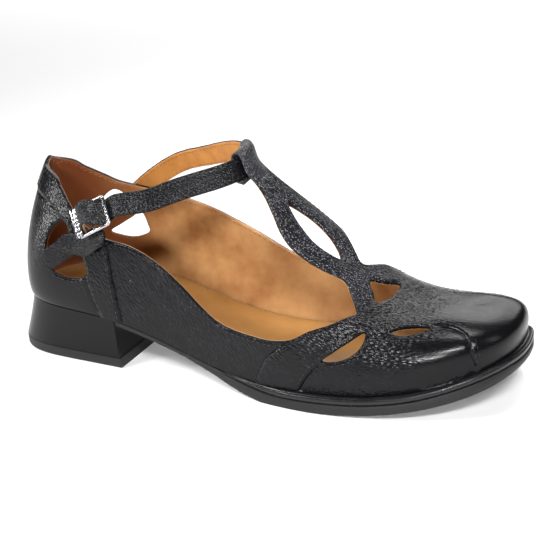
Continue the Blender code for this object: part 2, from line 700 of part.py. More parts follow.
def raised_areas():
    """Flat outlines of the collar bands, and of the front piece less its two wings."""
    bands = []
    wings = []
    seams = []
    for side in (-1, 1):
        collar = LATERAL_COLLAR[:6] if side < 0 else MEDIAL_COLLAR[:5]
        back = find_back(91.0)
        edge = [(0.0, side * back)] + spots_of(side, "z", collar)
        front = spots_of(side, "z", BAND_FRONT)
        seam = spots_of(side, "z", COLLAR_SEAM)
        foot = [(front[-1][0], side * 1.02), (seam[-1][0], side * 1.02)]
        ring = np.array(edge + front + foot + seam[::-1] + [(0.0, side * (back + 0.12))])
        bands.append(unroll(ring[:, 0], ring[:, 1]))
        seams.append(curve_run(seam[:-1], 4.0))
        seams.append(curve_run(front[:-1], 4.0))
        slot = spots_of(side, "z", SLOT_SIDE if side < 0 else SLOT_SIDE_MEDIAL)
        top_slot = spots_of(side, "y", SLOT_TOP if side < 0 else SLOT_TOP_MEDIAL)
        rear = spots_of(side, "z", WING_REAR if side < 0 else WING_REAR_MEDIAL)
        join = spots_of(side, "y", WING_TOP if side < 0 else WING_TOP_MEDIAL)
        cap = spots_of(side, "y", CAP_SEAM if side < 0 else CAP_SEAM_MEDIAL)
        cap += spots_of(side, "z", CAP_SIDE)
        foot = [(cap[-1][0], side * 1.02), (rear[-1][0], side * 1.02)]
        ring = np.array(slot[:4] + join + [top_slot[0]] + top_slot[1:4] + cap + foot + rear[::-1])
        wings.append(unroll(ring[:, 0], ring[:, 1]))
        seams.append(curve_run(rear, 4.0))
        seams.append(curve_run(cap[:-1], 4.0))
    lateral = spots_of(-1, "z", QUARTER_SEAM)
    medial = spots_of(1, "z", QUARTER_SEAM)
    seams.append(curve_run(lateral, 4.0))
    seams.append(curve_run(medial, 4.0))
    inner = spots_of(-1, "z", ((160.5, 34),)) + spots_of(1, "z", ((160.5, 36.5),))
    around = [(angle, 1.03) for angle in np.linspace(medial[-1][0], 180.0, 24)]
    around += [(angle, -1.03) for angle in np.linspace(180.0, lateral[-1][0], 24)]
    ring = np.array(lateral[::-1] + [inner[0], (92.0, -0.3), (92.0, 0.3), inner[1]] + medial + around)
    front = unroll(ring[:, 0], ring[:, 1])
    return bands, wings, front, seams


def raised(flat, bands, wings, front):
    """Height of the raised pieces over the base leather at flat points."""
    def cover(ring):
        away = edge_distance(flat, ring)
        away = np.where(inside(flat, ring), away, -away)
        return smooth_step(away, -0.4, 0.4)
    total = cover(front)
    for ring in wings:
        total = total * (1.0 - cover(ring))
    for ring in bands:
        total = np.maximum(total, cover(ring))
    return OVERLAY * total


def build_upper():
    bands, wings, front, seams = raised_areas()
    guides = [shifted(line, d) for line in seams for d in (-0.45, 0.45)]
    rings = [feather_ring(), collar_ring()]
    rings.append(crown_hole(EYE_HOLE))
    rings.append(crown_hole(TRIANGLE_HOLE))
    for side in (-1, 1):
        rings.append(hole_ring(side, "z", WINDOW_UPPER))
        rings.append(hole_ring(side, "z", WINDOW_LOWER))
        rings.append(hole_ring(side, "z", SLOT_SIDE if side < 0 else SLOT_SIDE_MEDIAL))
        rings.append(hole_ring(side, "y", SLOT_TOP if side < 0 else SLOT_TOP_MEDIAL))
    outer, inner, triangles = panel_mesh(rings, guides, lambda flat: raised(flat, bands, wings, front),
                                         WALL, MESH_STEP)
    outer[:, 2] += UPPER_SEAT
    inner[:, 2] += UPPER_SEAT
    return solid_from_sheet("upper", outer, inner, triangles, black_leather)


build_upper()


# Ankle strap, from its lap on the medial quarter over the instep to the buckle
def on_wall(side, x, z, away):
    """World-side point at a distance outside the last."""
    angle, cross = find_spot(side, x, z, "z")
    point, normal = last_surface([angle], [cross])
    return point[0] + normal[0] * away + np.array((0, 0, UPPER_SEAT)), normal[0]


def unit(vector):
    return np.asarray(vector, float) / np.linalg.norm(vector)


BUCKLE_CENTRE = np.array((57.0, -31.0, 75.6))
BUCKLE_ALONG = unit((0.88, 0.0, 0.475))
BUCKLE_OUT = unit((-0.18, -0.92, 0.334) - BUCKLE_ALONG * np.dot((-0.18, -0.92, 0.334), BUCKLE_ALONG))
BUCKLE_UP = np.cross(BUCKLE_ALONG, BUCKLE_OUT) * -1.0


def buckle_spot(along, out, up=0.0):
    return BUCKLE_CENTRE + BUCKLE_ALONG * along + BUCKLE_OUT * out + BUCKLE_UP * up


lap = OVERLAY + GAP + STRAP_THICK / 2 + 0.25
lap_low, _ = on_wall(1, 41.0, 60.0, lap)
lap_high, _ = on_wall(1, 49.0, 67.5, lap)
free = [(60, 26.4, 77.2), (74, 24.9, 84.6), (88, 21.8, 89.2), (101, 16.6, 93.6), (112, 9.8, 97.0),
        (119, 3.4, 97.8), (121.6, -2.6, 97.4), (119, -9.2, 96.2), (111, -16.2, 93.8),
        (97.5, -22.8, 89.6), (84, -27.2, 84.8)]
path = [lap_low, lap_high] + free
path += [buckle_spot(a, b) for a, b in ((15.5, -1.6), (9.2, -2.3), (4.6, 0.6), (0, 2.4),
                                        (-4.6, 0.5), (-7.8, -1.8), (-9.2, -2.3))]
leans = [(-0.62, -0.3, 0.72), (-0.55, -0.3, 0.78), (-0.45, -0.3, 0.84),
         (-0.42, -0.25, 0.87), (-0.35, -0.2, 0.92), (-0.28, -0.1, 0.95), (-0.2, 0, 0.98),
         (-0.15, 0, 0.99), (-0.15, 0.05, 0.99), (-0.15, 0.1, 0.98), (-0.2, 0.15, 0.97),
         (-0.25, 0.2, 0.94), (-0.35, 0.28, 0.9)] + [tuple(BUCKLE_UP)] * 7
strap_rows = through(np.hstack([np.array(path), np.array(leans)]), 96)
strap_spine = [(row[:3], row[3:]) for row in strap_rows]
strip("ankle_strap", strap_spine, STRAP_WIDTH, STRAP_THICK, black_leather)


def sleeve(name, spine, clear, wall, material):
    """Flat loop of leather around a stretch of the strap."""
    mesh = bmesh.new()
    loops = []
    points = np.array([p for p, _ in spine])
    for i, (point, across) in enumerate(spine):
        ahead = unit(points[min(i + 1, len(points) - 1)] - points[max(i - 1, 0)])
        across = unit(across - ahead * (across @ ahead))
        normal = np.cross(ahead, across)
        row = []
        for grow in (wall, 0.0):
            w = STRAP_WIDTH / 2 + clear + grow
            t = STRAP_THICK / 2 + clear + grow
            front = 1.6 if grow else 0.0
            row.append([mesh.verts.new(to_world(point + across * a + normal * b))
                        for a, b in ((-w, -t - front), (w, -t), (w, t), (-w, t))])
        loops.append(row)
    for one, two in zip(loops, loops[1:]):
        for k in range(4):
            j = (k + 1) % 4
            mesh.faces.new((one[0][k], one[0][j], two[0][j], two[0][k]))
            mesh.faces.new((one[1][j], one[1][k], two[1][k], two[1][j]))
    for row, flip in ((loops[0], 1), (loops[-1], -1)):
        for k in range(4):
            j = (k + 1) % 4
            mesh.faces.new((row[0][j], row[0][k], row[1][k], row[1][j])[::flip])
    return finish_object(name, mesh, material)


in_loop = [row for row in strap_spine if -8.5 < row[0][1] < 6.0 and row[0][0] > 110]
sleeve("strap_loop", in_loop, GAP, 1.2, black_leather)

half = (BUCKLE_LENGTH / 2, BUCKLE_HEIGHT / 2)
ring_bar("buckle_frame", half, BUCKLE_CENTRE, BUCKLE_ALONG, BUCKLE_UP, BUCKLE_OUT, 1.6, 1.5, bright_metal)

# Centre bar of the buckle and the tab that carries it
bar_spine = [(buckle_spot(0, 0, up), BUCKLE_ALONG) for up in (-5.45, 0.0, 5.45)]
strip("buckle_bar", bar_spine, 1.6, 1.6, bright_metal)
tab_path = [on_wall(-1, x, z, OVERLAY + GAP + 0.9)[0] for x, z in ((29.5, 50.2), (37, 55.4), (43.5, 60.0))]
tab_path += [(50.5, -30.9, 60.8), (56.5, -31.9, 64.6), (61.8, -32.3, 67.6)]
tab_lean = [(-0.55, 0.1, 0.83), (-0.55, 0.15, 0.82), (-0.52, 0.2, 0.83), (-0.48, 0.3, 0.82),
            (-0.45, 0.34, 0.82), (-0.45, 0.36, 0.82)]
tab_rows = through(np.hstack([np.array(tab_path), np.array(tab_lean)]), 22)
strip("buckle_tab", [(row[:3], row[3:]) for row in tab_rows], 8.0, 1.3, black_leather)
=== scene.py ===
import math

import bmesh
import bpy
import numpy as np
from mathutils import Matrix, Vector, geometry


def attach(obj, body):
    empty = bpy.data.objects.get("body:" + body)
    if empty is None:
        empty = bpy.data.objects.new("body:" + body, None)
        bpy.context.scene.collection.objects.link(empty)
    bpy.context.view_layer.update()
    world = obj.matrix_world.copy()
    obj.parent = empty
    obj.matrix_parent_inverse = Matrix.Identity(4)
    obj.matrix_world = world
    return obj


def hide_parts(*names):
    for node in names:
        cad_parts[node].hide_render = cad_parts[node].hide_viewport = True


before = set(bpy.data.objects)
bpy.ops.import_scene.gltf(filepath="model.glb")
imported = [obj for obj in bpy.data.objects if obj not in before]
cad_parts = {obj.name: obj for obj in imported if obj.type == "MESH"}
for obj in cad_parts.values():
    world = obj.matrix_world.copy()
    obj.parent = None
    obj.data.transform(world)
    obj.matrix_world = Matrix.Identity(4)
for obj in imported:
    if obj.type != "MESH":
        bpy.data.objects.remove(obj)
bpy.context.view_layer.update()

print("frame loaded:", sorted(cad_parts))

# Work is in millimetres from the back of the heel: x to the toe, y to the inner side, z up.
originX, originY = 123.35, -1.14


def toFrame(points):
    return (np.asarray(points, float) - (originX, originY, 0.0)) / 1000.0


# small helpers

def linearColour(hexText):
    values = [int(hexText[i:i + 2], 16) / 255 for i in (1, 3, 5)]
    return tuple(v / 12.92 if v <= 0.04045 else ((v + 0.055) / 1.055) ** 2.4 for v in values) + (1.0,)


def addNode(tree, kind, settings=None, links=None):
    node = tree.nodes.new(kind)
    for name, value in (settings or {}).items():
        if isinstance(name, str) and hasattr(node, name):
            setattr(node, name, value)
        else:
            node.inputs[name].default_value = value
    for name, socket in (links or {}).items():
        tree.links.new(socket, node.inputs[name])
    return node


def newMaterial(name):
    material = bpy.data.materials.new(name)
    material.use_nodes = True
    tree = material.node_tree
    return material, tree, tree.nodes["Principled BSDF"]


def finishPiece(name, mesh, material, nodes=(), sharp=35, merge=0.00001):
    # closes doubles, turns faces outwards and puts the piece on the shoe
    bmesh.ops.remove_doubles(mesh, verts=mesh.verts[:], dist=merge)
    bmesh.ops.dissolve_degenerate(mesh, edges=mesh.edges[:], dist=1e-7)
    bmesh.ops.recalc_face_normals(mesh, faces=mesh.faces[:])
    data = bpy.data.meshes.new(name)
    mesh.to_mesh(data)
    mesh.free()
    data.shade_smooth()
    data.set_sharp_from_angle(angle=math.radians(sharp))
    data.materials.append(material)
    piece = bpy.data.objects.new(name, data)
    bpy.context.scene.collection.objects.link(piece)
    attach(piece, "root")
    if nodes:
        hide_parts(*nodes)
    return piece


def gridSheet(points):
    # a grid laid on an array of points, rows by columns by 3, in millimetres
    rows, columns = points.shape[:2]
    mesh = bmesh.new()
    bmesh.ops.create_grid(mesh, x_segments=columns - 1, y_segments=rows - 1, size=1.0)
    flat = toFrame(points)
    for vert in mesh.verts:
        column = int(round((vert.co.x + 1) / 2 * (columns - 1)))
        row = int(round((vert.co.y + 1) / 2 * (rows - 1)))
        vert.co = flat[row, column]
    return mesh


# the last, the form the shoe is built on

lastColumns = ("soleIn", "soleOut", "insetIn", "insetOut", "seat",
               "crownX", "crownY", "crownZ", "bulge", "wall")
# one row every 15 degrees from heel to toe; half widths, insets and heights in millimetres
lastRows = (
    (0.0, 0.0, 5.5, 5.5, 26.3, 24, 0, 108, 3.4, 1.50),
    (16.5, -16.5, 5.2, 5.2, 26.3, 26, 0, 108, 3.4, 1.50),
    (25.5, -25.5, 3.0, 3.0, 26.1, 34, 0, 109, 3.4, 1.45),
    (27.5, -28.2, 1.0, 1.0, 25.5, 51, 0, 112, 3.2, 1.25),
    (27.5, -29.5, 0.0, 0.0, 24.0, 75, 0, 116, 2.6, 1.00),
    (25.5, -32.0, 0.0, 0.0, 17.5, 102, 0, 113, 2.2, 0.82),
    (29.5, -37.0, 1.0, 1.5, 9.6, 127, 0, 94, 2.0, 0.80),
    (37.0, -41.5, 3.0, 3.2, 8.0, 154, 0, 68.8, 2.0, 0.78),
    (39.5, -40.5, 3.3, 3.3, 9.3, 180, 0, 47.5, 1.8, 0.80),
    (37.5, -36.0, 3.3, 3.3, 13.5, 203, 1, 39.5, 1.5, 0.70),
    (33.0, -27.0, 3.3, 3.3, 19.0, 217, 3, 39.0, 1.2, 0.56),
    (26.5, -13.0, 3.3, 3.3, 22.5, 225, 5, 38.0, 1.0, 0.52),
    (7.0, 7.0, 3.3, 3.3, 23.6, 227, 6, 37.5, 1.0, 0.52),
)
soleBack, soleToe = -2.0, 248.7
upperSeat = 0.55  # the upper stands this far off the sole


def naturalSpline(values, t):
    values = np.asarray(values, float)
    n = len(values)
    system = np.zeros((n, n))
    right = np.zeros(n)
    system[0, 0] = system[-1, -1] = 1.0
    for i in range(1, n - 1):
        system[i, i - 1:i + 2] = (1.0, 4.0, 1.0)
        right[i] = 6.0 * (values[i - 1] - 2.0 * values[i] + values[i + 1])
    bend = np.linalg.solve(system, right)
    t = np.asarray(t, float)
    i = np.clip(np.floor(t).astype(int), 0, n - 2)
    u = t - i
    flat = (1 - u) * values[i] + u * values[i + 1]
    return flat + ((u ** 3 - u) * bend[i + 1] + ((1 - u) ** 3 - (1 - u)) * bend[i]) / 6.0


fineAngles = np.linspace(0.0, 180.0, 721)
fineColumns = {name: naturalSpline([row[k] for row in lastRows], fineAngles / 15.0)
               for k, name in enumerate(lastColumns)}


def lastColumn(name, angle):
    return np.interp(angle, fineAngles, fineColumns[name])


def runAlong(points, axis=0):
    # length from the start to each point
    step = np.linalg.norm(np.diff(points, axis=axis), axis=-1)
    start = np.zeros(step.shape[:axis] + (1,) + step.shape[axis + 1:])
    return np.concatenate([start, np.cumsum(step, axis=axis)], axis=axis)


def readTable(at, run, table):
    return np.stack([np.interp(at, run, table[:, k]) for k in range(table.shape[1])], axis=1)


def softStep(value, low, high):
    t = np.clip((np.asarray(value, float) - low) / (high - low), 0.0, 1.0)
    return t * t * (3.0 - 2.0 * t)


def groundOutline(angle, side):
    x = soleBack + (soleToe - soleBack) * (1.0 - np.cos(np.radians(angle))) / 2.0
    return x, lastColumn("soleIn" if side > 0 else "soleOut", angle)


def featherLine(angle, side):
    # line where the wall of the upper meets the sole, with its outward direction
    angle = np.asarray(angle, float)
    x, y = groundOutline(angle, side)
    x0, y0 = groundOutline(np.maximum(angle - 0.5, 0.0), side)
    x1, y1 = groundOutline(np.minimum(angle + 0.5, 180.0), side)
    length = np.hypot(x1 - x0, y1 - y0)
    nx, ny = -side * (y1 - y0) / length, side * (x1 - x0) / length
    inset = lastColumn("insetIn" if side > 0 else "insetOut", angle)
    return x - nx * inset, y - ny * inset, lastColumn("seat", angle), nx, ny


def lastSections(side, levels):
    # every section of the last from feather to crown, read at even shares of its girth
    x, y, z, nx, ny = (value[:, None] for value in featherLine(fineAngles, side))
    crown = [fineColumns[name][:, None] for name in ("crownX", "crownY", "crownZ")]
    wall = fineColumns["wall"][:, None]
    turn = (math.pi / 2) * (1.0 - np.cos(np.linspace(0.0, math.pi, 121))) / 2.0
    across = 1.0 - np.clip(np.cos(turn), 0.0, 1.0)[None, :] ** wall
    rise = np.sin(turn)[None, :] ** wall
    bulge = fineColumns["bulge"][:, None] * np.sin(math.pi * np.clip(turn / (math.pi / 2) / 0.65, 0, 1))
    line = np.stack([x + (crown[0] - x) * across + nx * bulge,
                     y + (crown[1] - y) * across + ny * bulge,
                     z + (crown[2] - z) * rise], axis=2)
    girth = runAlong(line, axis=1)
    return np.stack([readTable(levels * g[-1], g, row) for g, row in zip(girth, line)]), girth[:, -1]


levelCount = 141
levels = np.linspace(0.0, 1.0, levelCount)
outSide, outGirth = lastSections(-1, levels)
inSide, inGirth = lastSections(1, levels)
# lateral feather, crown, medial feather in one table
lastPlaces = np.concatenate([outSide, inSide[:, ::-1][:, 1:]], axis=1)
alongStep = np.gradient(lastPlaces, axis=0)
acrossStep = np.gradient(lastPlaces, axis=1)
lastNormals = np.cross(alongStep, acrossStep)
lastNormals /= np.linalg.norm(lastNormals, axis=2, keepdims=True) + 1e-12
lastNormals[:2] = lastNormals[2]
lastNormals[-2:] = lastNormals[-3]


def calmPole():
    # the lines of the toe all start at one spot of its top, where the leather lies flat
    middle, reach = levelCount - 1, int(0.14 * (levelCount - 1))
    mean = lastNormals[:, middle - reach] + lastNormals[:, middle + reach]
    mean /= np.linalg.norm(mean, axis=1, keepdims=True)
    near = softStep(np.arange(len(lastNormals)) / 4.0, 132, 148)
    for j in range(middle - reach, middle + reach + 1):
        share = (near * (1.0 - ((j - middle) / reach) ** 2))[:, None]
        mixed = (1.0 - share) * lastNormals[:, j] + share * mean
        lastNormals[:, j] = mixed / np.linalg.norm(mixed, axis=1, keepdims=True)


calmPole()


def onLast(angle, cross):
    # points and outward normals; cross is -1 at the outer feather, 0 at the crown, 1 at the inner feather
    row = np.clip(np.asarray(angle, float) * 4.0, 0.0, 719.999)
    col = np.clip((np.asarray(cross, float) + 1.0) * (levelCount - 1), 0.0, 2 * levelCount - 2.001)
    i, j = row.astype(int), col.astype(int)
    u, v = (row - i)[:, None], (col - j)[:, None]
    found = []
    for table in (lastPlaces, lastNormals):
        found.append((1 - u) * ((1 - v) * table[i, j] + v * table[i, j + 1])
                     + u * ((1 - v) * table[i + 1, j] + v * table[i + 1, j + 1]))
    normal = found[1] / np.linalg.norm(found[1], axis=1, keepdims=True)
    return found[0], normal


def unroll(angle, cross):
    # flat pattern: the crown is a line, the feather a ring
    angle, cross = np.asarray(angle, float), np.asarray(cross, float)
    flat = np.empty((len(angle), 2))
    for side in (-1, 1):
        keep = cross >= 0 if side > 0 else cross < 0
        a = angle[keep]
        fx, fy = featherLine(a, side)[:2]
        cx, cy = lastColumn("crownX", a), lastColumn("crownY", a)
        girth = np.interp(a, fineAngles, inGirth if side > 0 else outGirth)
        reach = np.abs(cross[keep]) * girth / np.hypot(fx - cx, fy - cy)
        flat[keep, 0] = cx + (fx - cx) * reach
        flat[keep, 1] = cy + (fy - cy) * reach
    return flat


def flatOf(line):
    return unroll(line[:, 0], line[:, 1])


def patternSpot(side, x, level, by):
    # the point of the last at a length x and a height z or width y
    table = outSide if side < 0 else inSide
    axis = {"z": 2, "y": 1}[by]

    def crossing(angle):
        row = min(angle * 4.0, 719.999)
        i, u = int(row), row - int(row)
        line = (1 - u) * table[i] + u * table[i + 1]
        start = 0 if by == "z" else int(np.argmax(np.abs(line[:, 1])))
        values = line[start:, axis]
        if by == "y" and side > 0:
            share = np.interp(-level, -values, levels[start:])
        else:
            share = np.interp(level, values, levels[start:])
        return share, np.interp(share, levels, line[:, 0])

    low, high = 0.0, 180.0
    for _ in range(30):
        angle = (low + high) / 2.0
        share, here = crossing(angle)
        if here < x:
            low = angle
        else:
            high = angle
    return angle, side * (1.0 - share)


def spotsOf(side, by, table):
    return [patternSpot(side, x, level, by) for x, level in table]


def evenLine(spots, step, closed=False):
    # rounded line through pattern spots, a point about every step millimetres
    spots = np.asarray(spots, float)
    n = len(spots)
    last = n if closed else n - 1
    dense = []
    u = np.linspace(0.0, 1.0, 16, endpoint=False)[:, None]
    for i in range(last):
        ring = [spots[(i + k) % n] for k in (-1, 0, 1, 2)]
        if not closed and i == 0:
            ring[0] = 2 * spots[0] - spots[1]
        if not closed and i == last - 1:
            ring[3] = 2 * spots[-1] - spots[-2]
        m1, m2 = (ring[2] - ring[0]) / 2.0, (ring[3] - ring[1]) / 2.0
        dense.append((2 * u ** 3 - 3 * u ** 2 + 1) * ring[1] + (u ** 3 - 2 * u ** 2 + u) * m1
                     + (-2 * u ** 3 + 3 * u ** 2) * ring[2] + (u ** 3 - u ** 2) * m2)
    dense.append((spots[0] if closed else spots[-1])[None, :])
    dense = np.concatenate(dense)
    dense[:, 0] = np.clip(dense[:, 0], 0.0, 180.0)
    place = onLast(dense[:, 0], dense[:, 1])[0]
    run = runAlong(place)
    line = readTable(np.linspace(0.0, run[-1], max(2, int(round(run[-1] / step))) + 1), run, dense)
    return line[:-1] if closed else line


def shiftLine(line, distance, closed=False):
    # pattern line moved sideways in millimetres, to the left of its run
    flat = flatOf(line)
    if closed:
        tangent = np.roll(flat, -1, axis=0) - np.roll(flat, 1, axis=0)
    else:
        tangent = np.gradient(flat, axis=0)
    tangent /= np.linalg.norm(tangent, axis=1, keepdims=True)
    want = np.stack([-tangent[:, 1], tangent[:, 0]], axis=1) * distance
    cross = np.where(np.abs(line[:, 1]) < 0.005, 0.005, line[:, 1])
    byAngle = (unroll(np.minimum(line[:, 0], 179.7) + 0.3, cross)
               - unroll(np.minimum(line[:, 0], 179.7), cross)) / 0.3
    step = np.where(cross > 0, -0.004, 0.004)
    byCross = (unroll(line[:, 0], cross + step) - unroll(line[:, 0], cross)) / step[:, None]
    area = byAngle[:, 0] * byCross[:, 1] - byAngle[:, 1] * byCross[:, 0]
    moveAngle = (want[:, 0] * byCross[:, 1] - want[:, 1] * byCross[:, 0]) / area
    moveCross = (byAngle[:, 0] * want[:, 1] - byAngle[:, 1] * want[:, 0]) / area
    return np.stack([np.clip(line[:, 0] + moveAngle, 0, 180), np.clip(line[:, 1] + moveCross, -1, 1)], axis=1)


def insideRing(flat, ring):
    x, y = flat[:, 0], flat[:, 1]
    result = np.zeros(len(flat), bool)
    for a, b in zip(ring, np.roll(ring, -1, axis=0)):
        crosses = (a[1] > y) != (b[1] > y)
        slope = (b[0] - a[0]) / (b[1] - a[1] + 1e-12)
        result ^= crosses & (x < a[0] + slope * (y - a[1]))
    return result


def ringDistance(flat, ring, closed=True):
    best = np.full(len(flat), 1e9)
    ends = np.roll(ring, -1, axis=0) if closed else ring[1:]
    for a, b in zip(ring, ends):
        d = b - a
        t = np.clip(((flat - a) @ d) / (d @ d + 1e-12), 0.0, 1.0)
        best = np.minimum(best, np.hypot(*(flat - (a + t[:, None] * d)).T))
    return best


print("last ready")

# pattern lines of the upper: length from the heel, then height z or width y

backHeight = 91.0
lateralCollar = ((24, 87), (32, 82), (38, 77), (44, 72), (53, 66.5), (62, 64), (75, 62.5),
                 (89, 57), (102, 48), (110, 41), (118, 35), (126, 32), (136, 30.5),
                 (147, 30), (157, 32), (165, 36.5))
medialCollar = ((21, 86.5), (26, 81.5), (33, 76.5), (40, 72.5), (56, 69), (73, 66.5), (90, 62.5),
                (102, 57.5), (113, 52), (123, 46), (133, 40.5), (144, 36.5), (156, 35.5), (165, 37.5))
throatLateral = ((174, -33.3), (180, -28))
legLateral = ((183, -24.5), (178, -18.5), (173, -14.0), (166, -17), (159, -19.4),
              (152, -20.0), (146, -18.2), (140, -13.5), (134, -9.0), (127.6, -6.6))
legMedial = ((127.6, 7.0), (134, 8.8), (140.7, 12.4), (146, 15.8), (152, 17.6), (157.5, 17.2),
             (162.2, 13.9), (166.3, 10.2), (169.8, 6.8), (173.0, 4.4), (175.2, 7.4), (177, 12.4),
             (178.8, 19), (181, 24), (183.5, 27.5))
throatMedial = ((180, 31.5), (174, 34.5))
eyeHole = ((142, -2.2), (148, 2.2), (154, 4.0), (160, 3.2), (165.5, -0.5), (167, -4.5),
           (163.5, -7.6), (157, -9.6), (150, -8.0), (145, -5.2))
triangleHole = ((179.5, -2), (184.5, 3.5), (189.2, 8.5), (190.6, 3.5), (191.2, -2.5), (190.4, -8.5),
                (187.6, -14.5), (184.5, -10))
windowUpper = ((36, 68.5), (39.8, 65.2), (33, 58.6), (25.6, 52.6), (25.2, 57), (28, 62.5), (31.5, 66.2))
windowLower = ((47.2, 56), (49.8, 49), (50, 45.6), (45, 43), (40, 42), (34, 42.6), (28.8, 44.4),
               (35, 48.6), (41.5, 52.8))
collarSeam = ((6, 80), (12, 79), (24, 75), (34, 69.5), (42, 62.5), (46.5, 55), (48.5, 46), (51.5, 34),
              (54.5, 26))
bandFront = ((62, 61.5), (63.2, 50), (64.6, 37), (66, 25))
quarterSeam = ((155.5, 30.5), (150.5, 27), (144.2, 21), (140.4, 14.5), (138.4, 9.5))
capSide = ((232.6, 31), (234.4, 24.5))
# slots and seams of the front piece, outer side first: slotSide and wingRear by height, the others by width
frontLines = {
    -1: {"slotSide": ((171.4, 24.2), (177, 28.8), (183, 33.2), (188.2, 36.4), (188.6, 33), (186.2, 29.2),
                      (182, 26.2), (177, 24.4)),
         "slotTop": ((198.6, -25.4), (203, -21.6), (208.5, -19.1), (213.6, -18.2), (209.5, -21.9),
                     (204, -25.3)),
         "wingRear": ((169.6, 22.6), (165.4, 17.5), (162, 12.5), (160.4, 9.5)),
         "wingTop": ((190.4, -30.4), (195, -27.6)),
         "capSeam": ((216, -16.2), (221.5, -16.2), (227, -17.6), (231, -20.2))},
    1: {"slotSide": ((171.4, 19.7), (177, 24.0), (183, 28.2), (188.2, 31.4), (188.6, 28), (186.2, 24.4),
                     (182, 21.6), (177, 20.0)),
        "slotTop": ((198.6, 30.6), (203, 28.6), (208.5, 26.8), (213.6, 25.6), (209.5, 28.2), (204, 30.8)),
        "wingRear": ((170.2, 18.4), (166.2, 15.0), (163, 11.8), (161.2, 9.5)),
        "wingTop": ((190.4, 34.0), (195, 32.2)),
        "capSeam": ((216, 24.6), (221.5, 24.6), (227, 25.2), (231, 26.0))},
}

upperLook = {
    "step": 1.5,        # mesh of the leather, mm
    "edgeStep": 1.2,
    "raise": 0.80,      # how far the collar band and front piece stand proud
    "skin": 0.95,       # black leather
    "wall": 1.6,        # leather and lining together
    "edgeRoll": 0.5,    # turned edges fall away by this much
    "stitchIn": 1.7,    # stitch row in from an edge
    "rollLines": 0.42,  # mesh lines on both sides of an edge, and the gap they keep
    "rollClear": 0.39,
    "seamLines": (-0.26, 0.2),  # mesh lines beside a seam, and the gap they keep
    "seamClear": 0.75,
    "groove": 0.5,      # depth and half width of the fold along a seam
    "grooveHalf": 0.36,
}


def featherAngles(side, step):
    # angles of spots a step apart along the feather line
    run = runAlong(np.stack(featherLine(fineAngles, side)[:2], axis=1))
    return np.interp(np.linspace(0, run[-1], int(run[-1] / step) + 1), run, fineAngles)


def patternGrid(step):
    spots = []
    for side in (-1, 1):
        angles = featherAngles(side, step)[1:-1]
        girth = np.interp(angles, fineAngles, inGirth if side > 0 else outGirth)
        for i, (angle, length) in enumerate(zip(angles, girth)):
            share = (np.arange(1, int(length / step) + 1) - (0.5 if i % 2 else 0.0)) * step / length
            share = share[(share > 0.0) & (share < 0.992)]
            spots.append(np.stack([np.full(len(share), angle), side * (1.0 - share)], axis=1))
    return np.concatenate(spots)


def onLeather(flat, flats, clear=None):
    # inside the first ring and outside the others, and clear of them all by some mm
    good = insideRing(flat, flats[0])
    for ring in flats[1:]:
        good &= ~insideRing(flat, ring)
    for ring in flats if clear is not None else ():
        good &= ringDistance(flat, ring) > clear
    return good


def freeRuns(guides, flats):
    # stretches of guide lines that keep clear of every edge and of each other
    runs, taken = [], []
    for guide, clear in guides:
        flat = flatOf(guide)
        good = onLeather(flat, flats, clear)
        for other in taken:
            good &= ringDistance(flat, other, closed=False) > 0.3
        start = None
        for i in range(len(guide) + 1):
            if i < len(guide) and good[i]:
                start = i if start is None else start
            elif start is not None:
                if i - start > 2:
                    runs.append(guide[start:i])
                    taken.append(flat[start:i])
                start = None
    return runs


def cutPanel(rings, guides, step):
    # the leather cut flat: rings[0] is its edge, the others are holes
    flats = [flatOf(ring) for ring in rings]
    runs = freeRuns(guides, flats)
    spots, edges = [], []
    count = 0
    for ring in rings:
        spots.append(ring)
        edges += [(count + i, count + (i + 1) % len(ring)) for i in range(len(ring))]
        count += len(ring)
    for run in runs:
        spots.append(run)
        edges += [(count + i, count + i + 1) for i in range(len(run) - 1)]
        count += len(run)
    grid = patternGrid(step)
    flat = flatOf(grid)
    keep = onLeather(flat, flats, step * 0.55)
    for run in runs:
        keep &= ringDistance(flat, flatOf(run), closed=False) > step * 0.42
    spots.append(grid[keep])
    spots = np.concatenate(spots)
    flat = flatOf(spots)
    cut = geometry.delaunay_2d_cdt([Vector(p) for p in flat], edges, [], 0, 1e-5)
    newFlat = np.array([tuple(p) for p in cut[0]])
    source = np.array([ids[0] if ids else -1 for ids in cut[3]])
    newSpots = spots[source]
    for i in np.flatnonzero(source < 0):
        # two lines cross here: find the spot of the last that lies under the crossing
        guess = spots[np.argmin(np.hypot(*(flat - newFlat[i]).T))][None, :].copy()
        for _ in range(8):
            here = flatOf(guess)[0]
            byAngle = (unroll(guess[:, 0] + 0.2, guess[:, 1])[0] - here) / 0.2
            byCross = (unroll(guess[:, 0], guess[:, 1] + 0.004)[0] - here) / 0.004
            guess += np.linalg.solve(np.stack([byAngle, byCross], axis=1), newFlat[i] - here)
        newSpots[i] = guess[0]
    triangles = np.array([f for f in cut[2] if len(f) == 3])
    good = onLeather(newFlat[triangles].mean(axis=1), flats)
    edgeAway = np.full(len(newFlat), 1e9)
    for ring in flats:
        edgeAway = np.minimum(edgeAway, ringDistance(newFlat, ring))
    return {"spots": newSpots, "flat": newFlat, "triangles": triangles[good], "edgeAway": edgeAway}


back = 1.0 - np.interp(backHeight, outSide[0, :, 2], levels)  # share of the girth at the counter's top


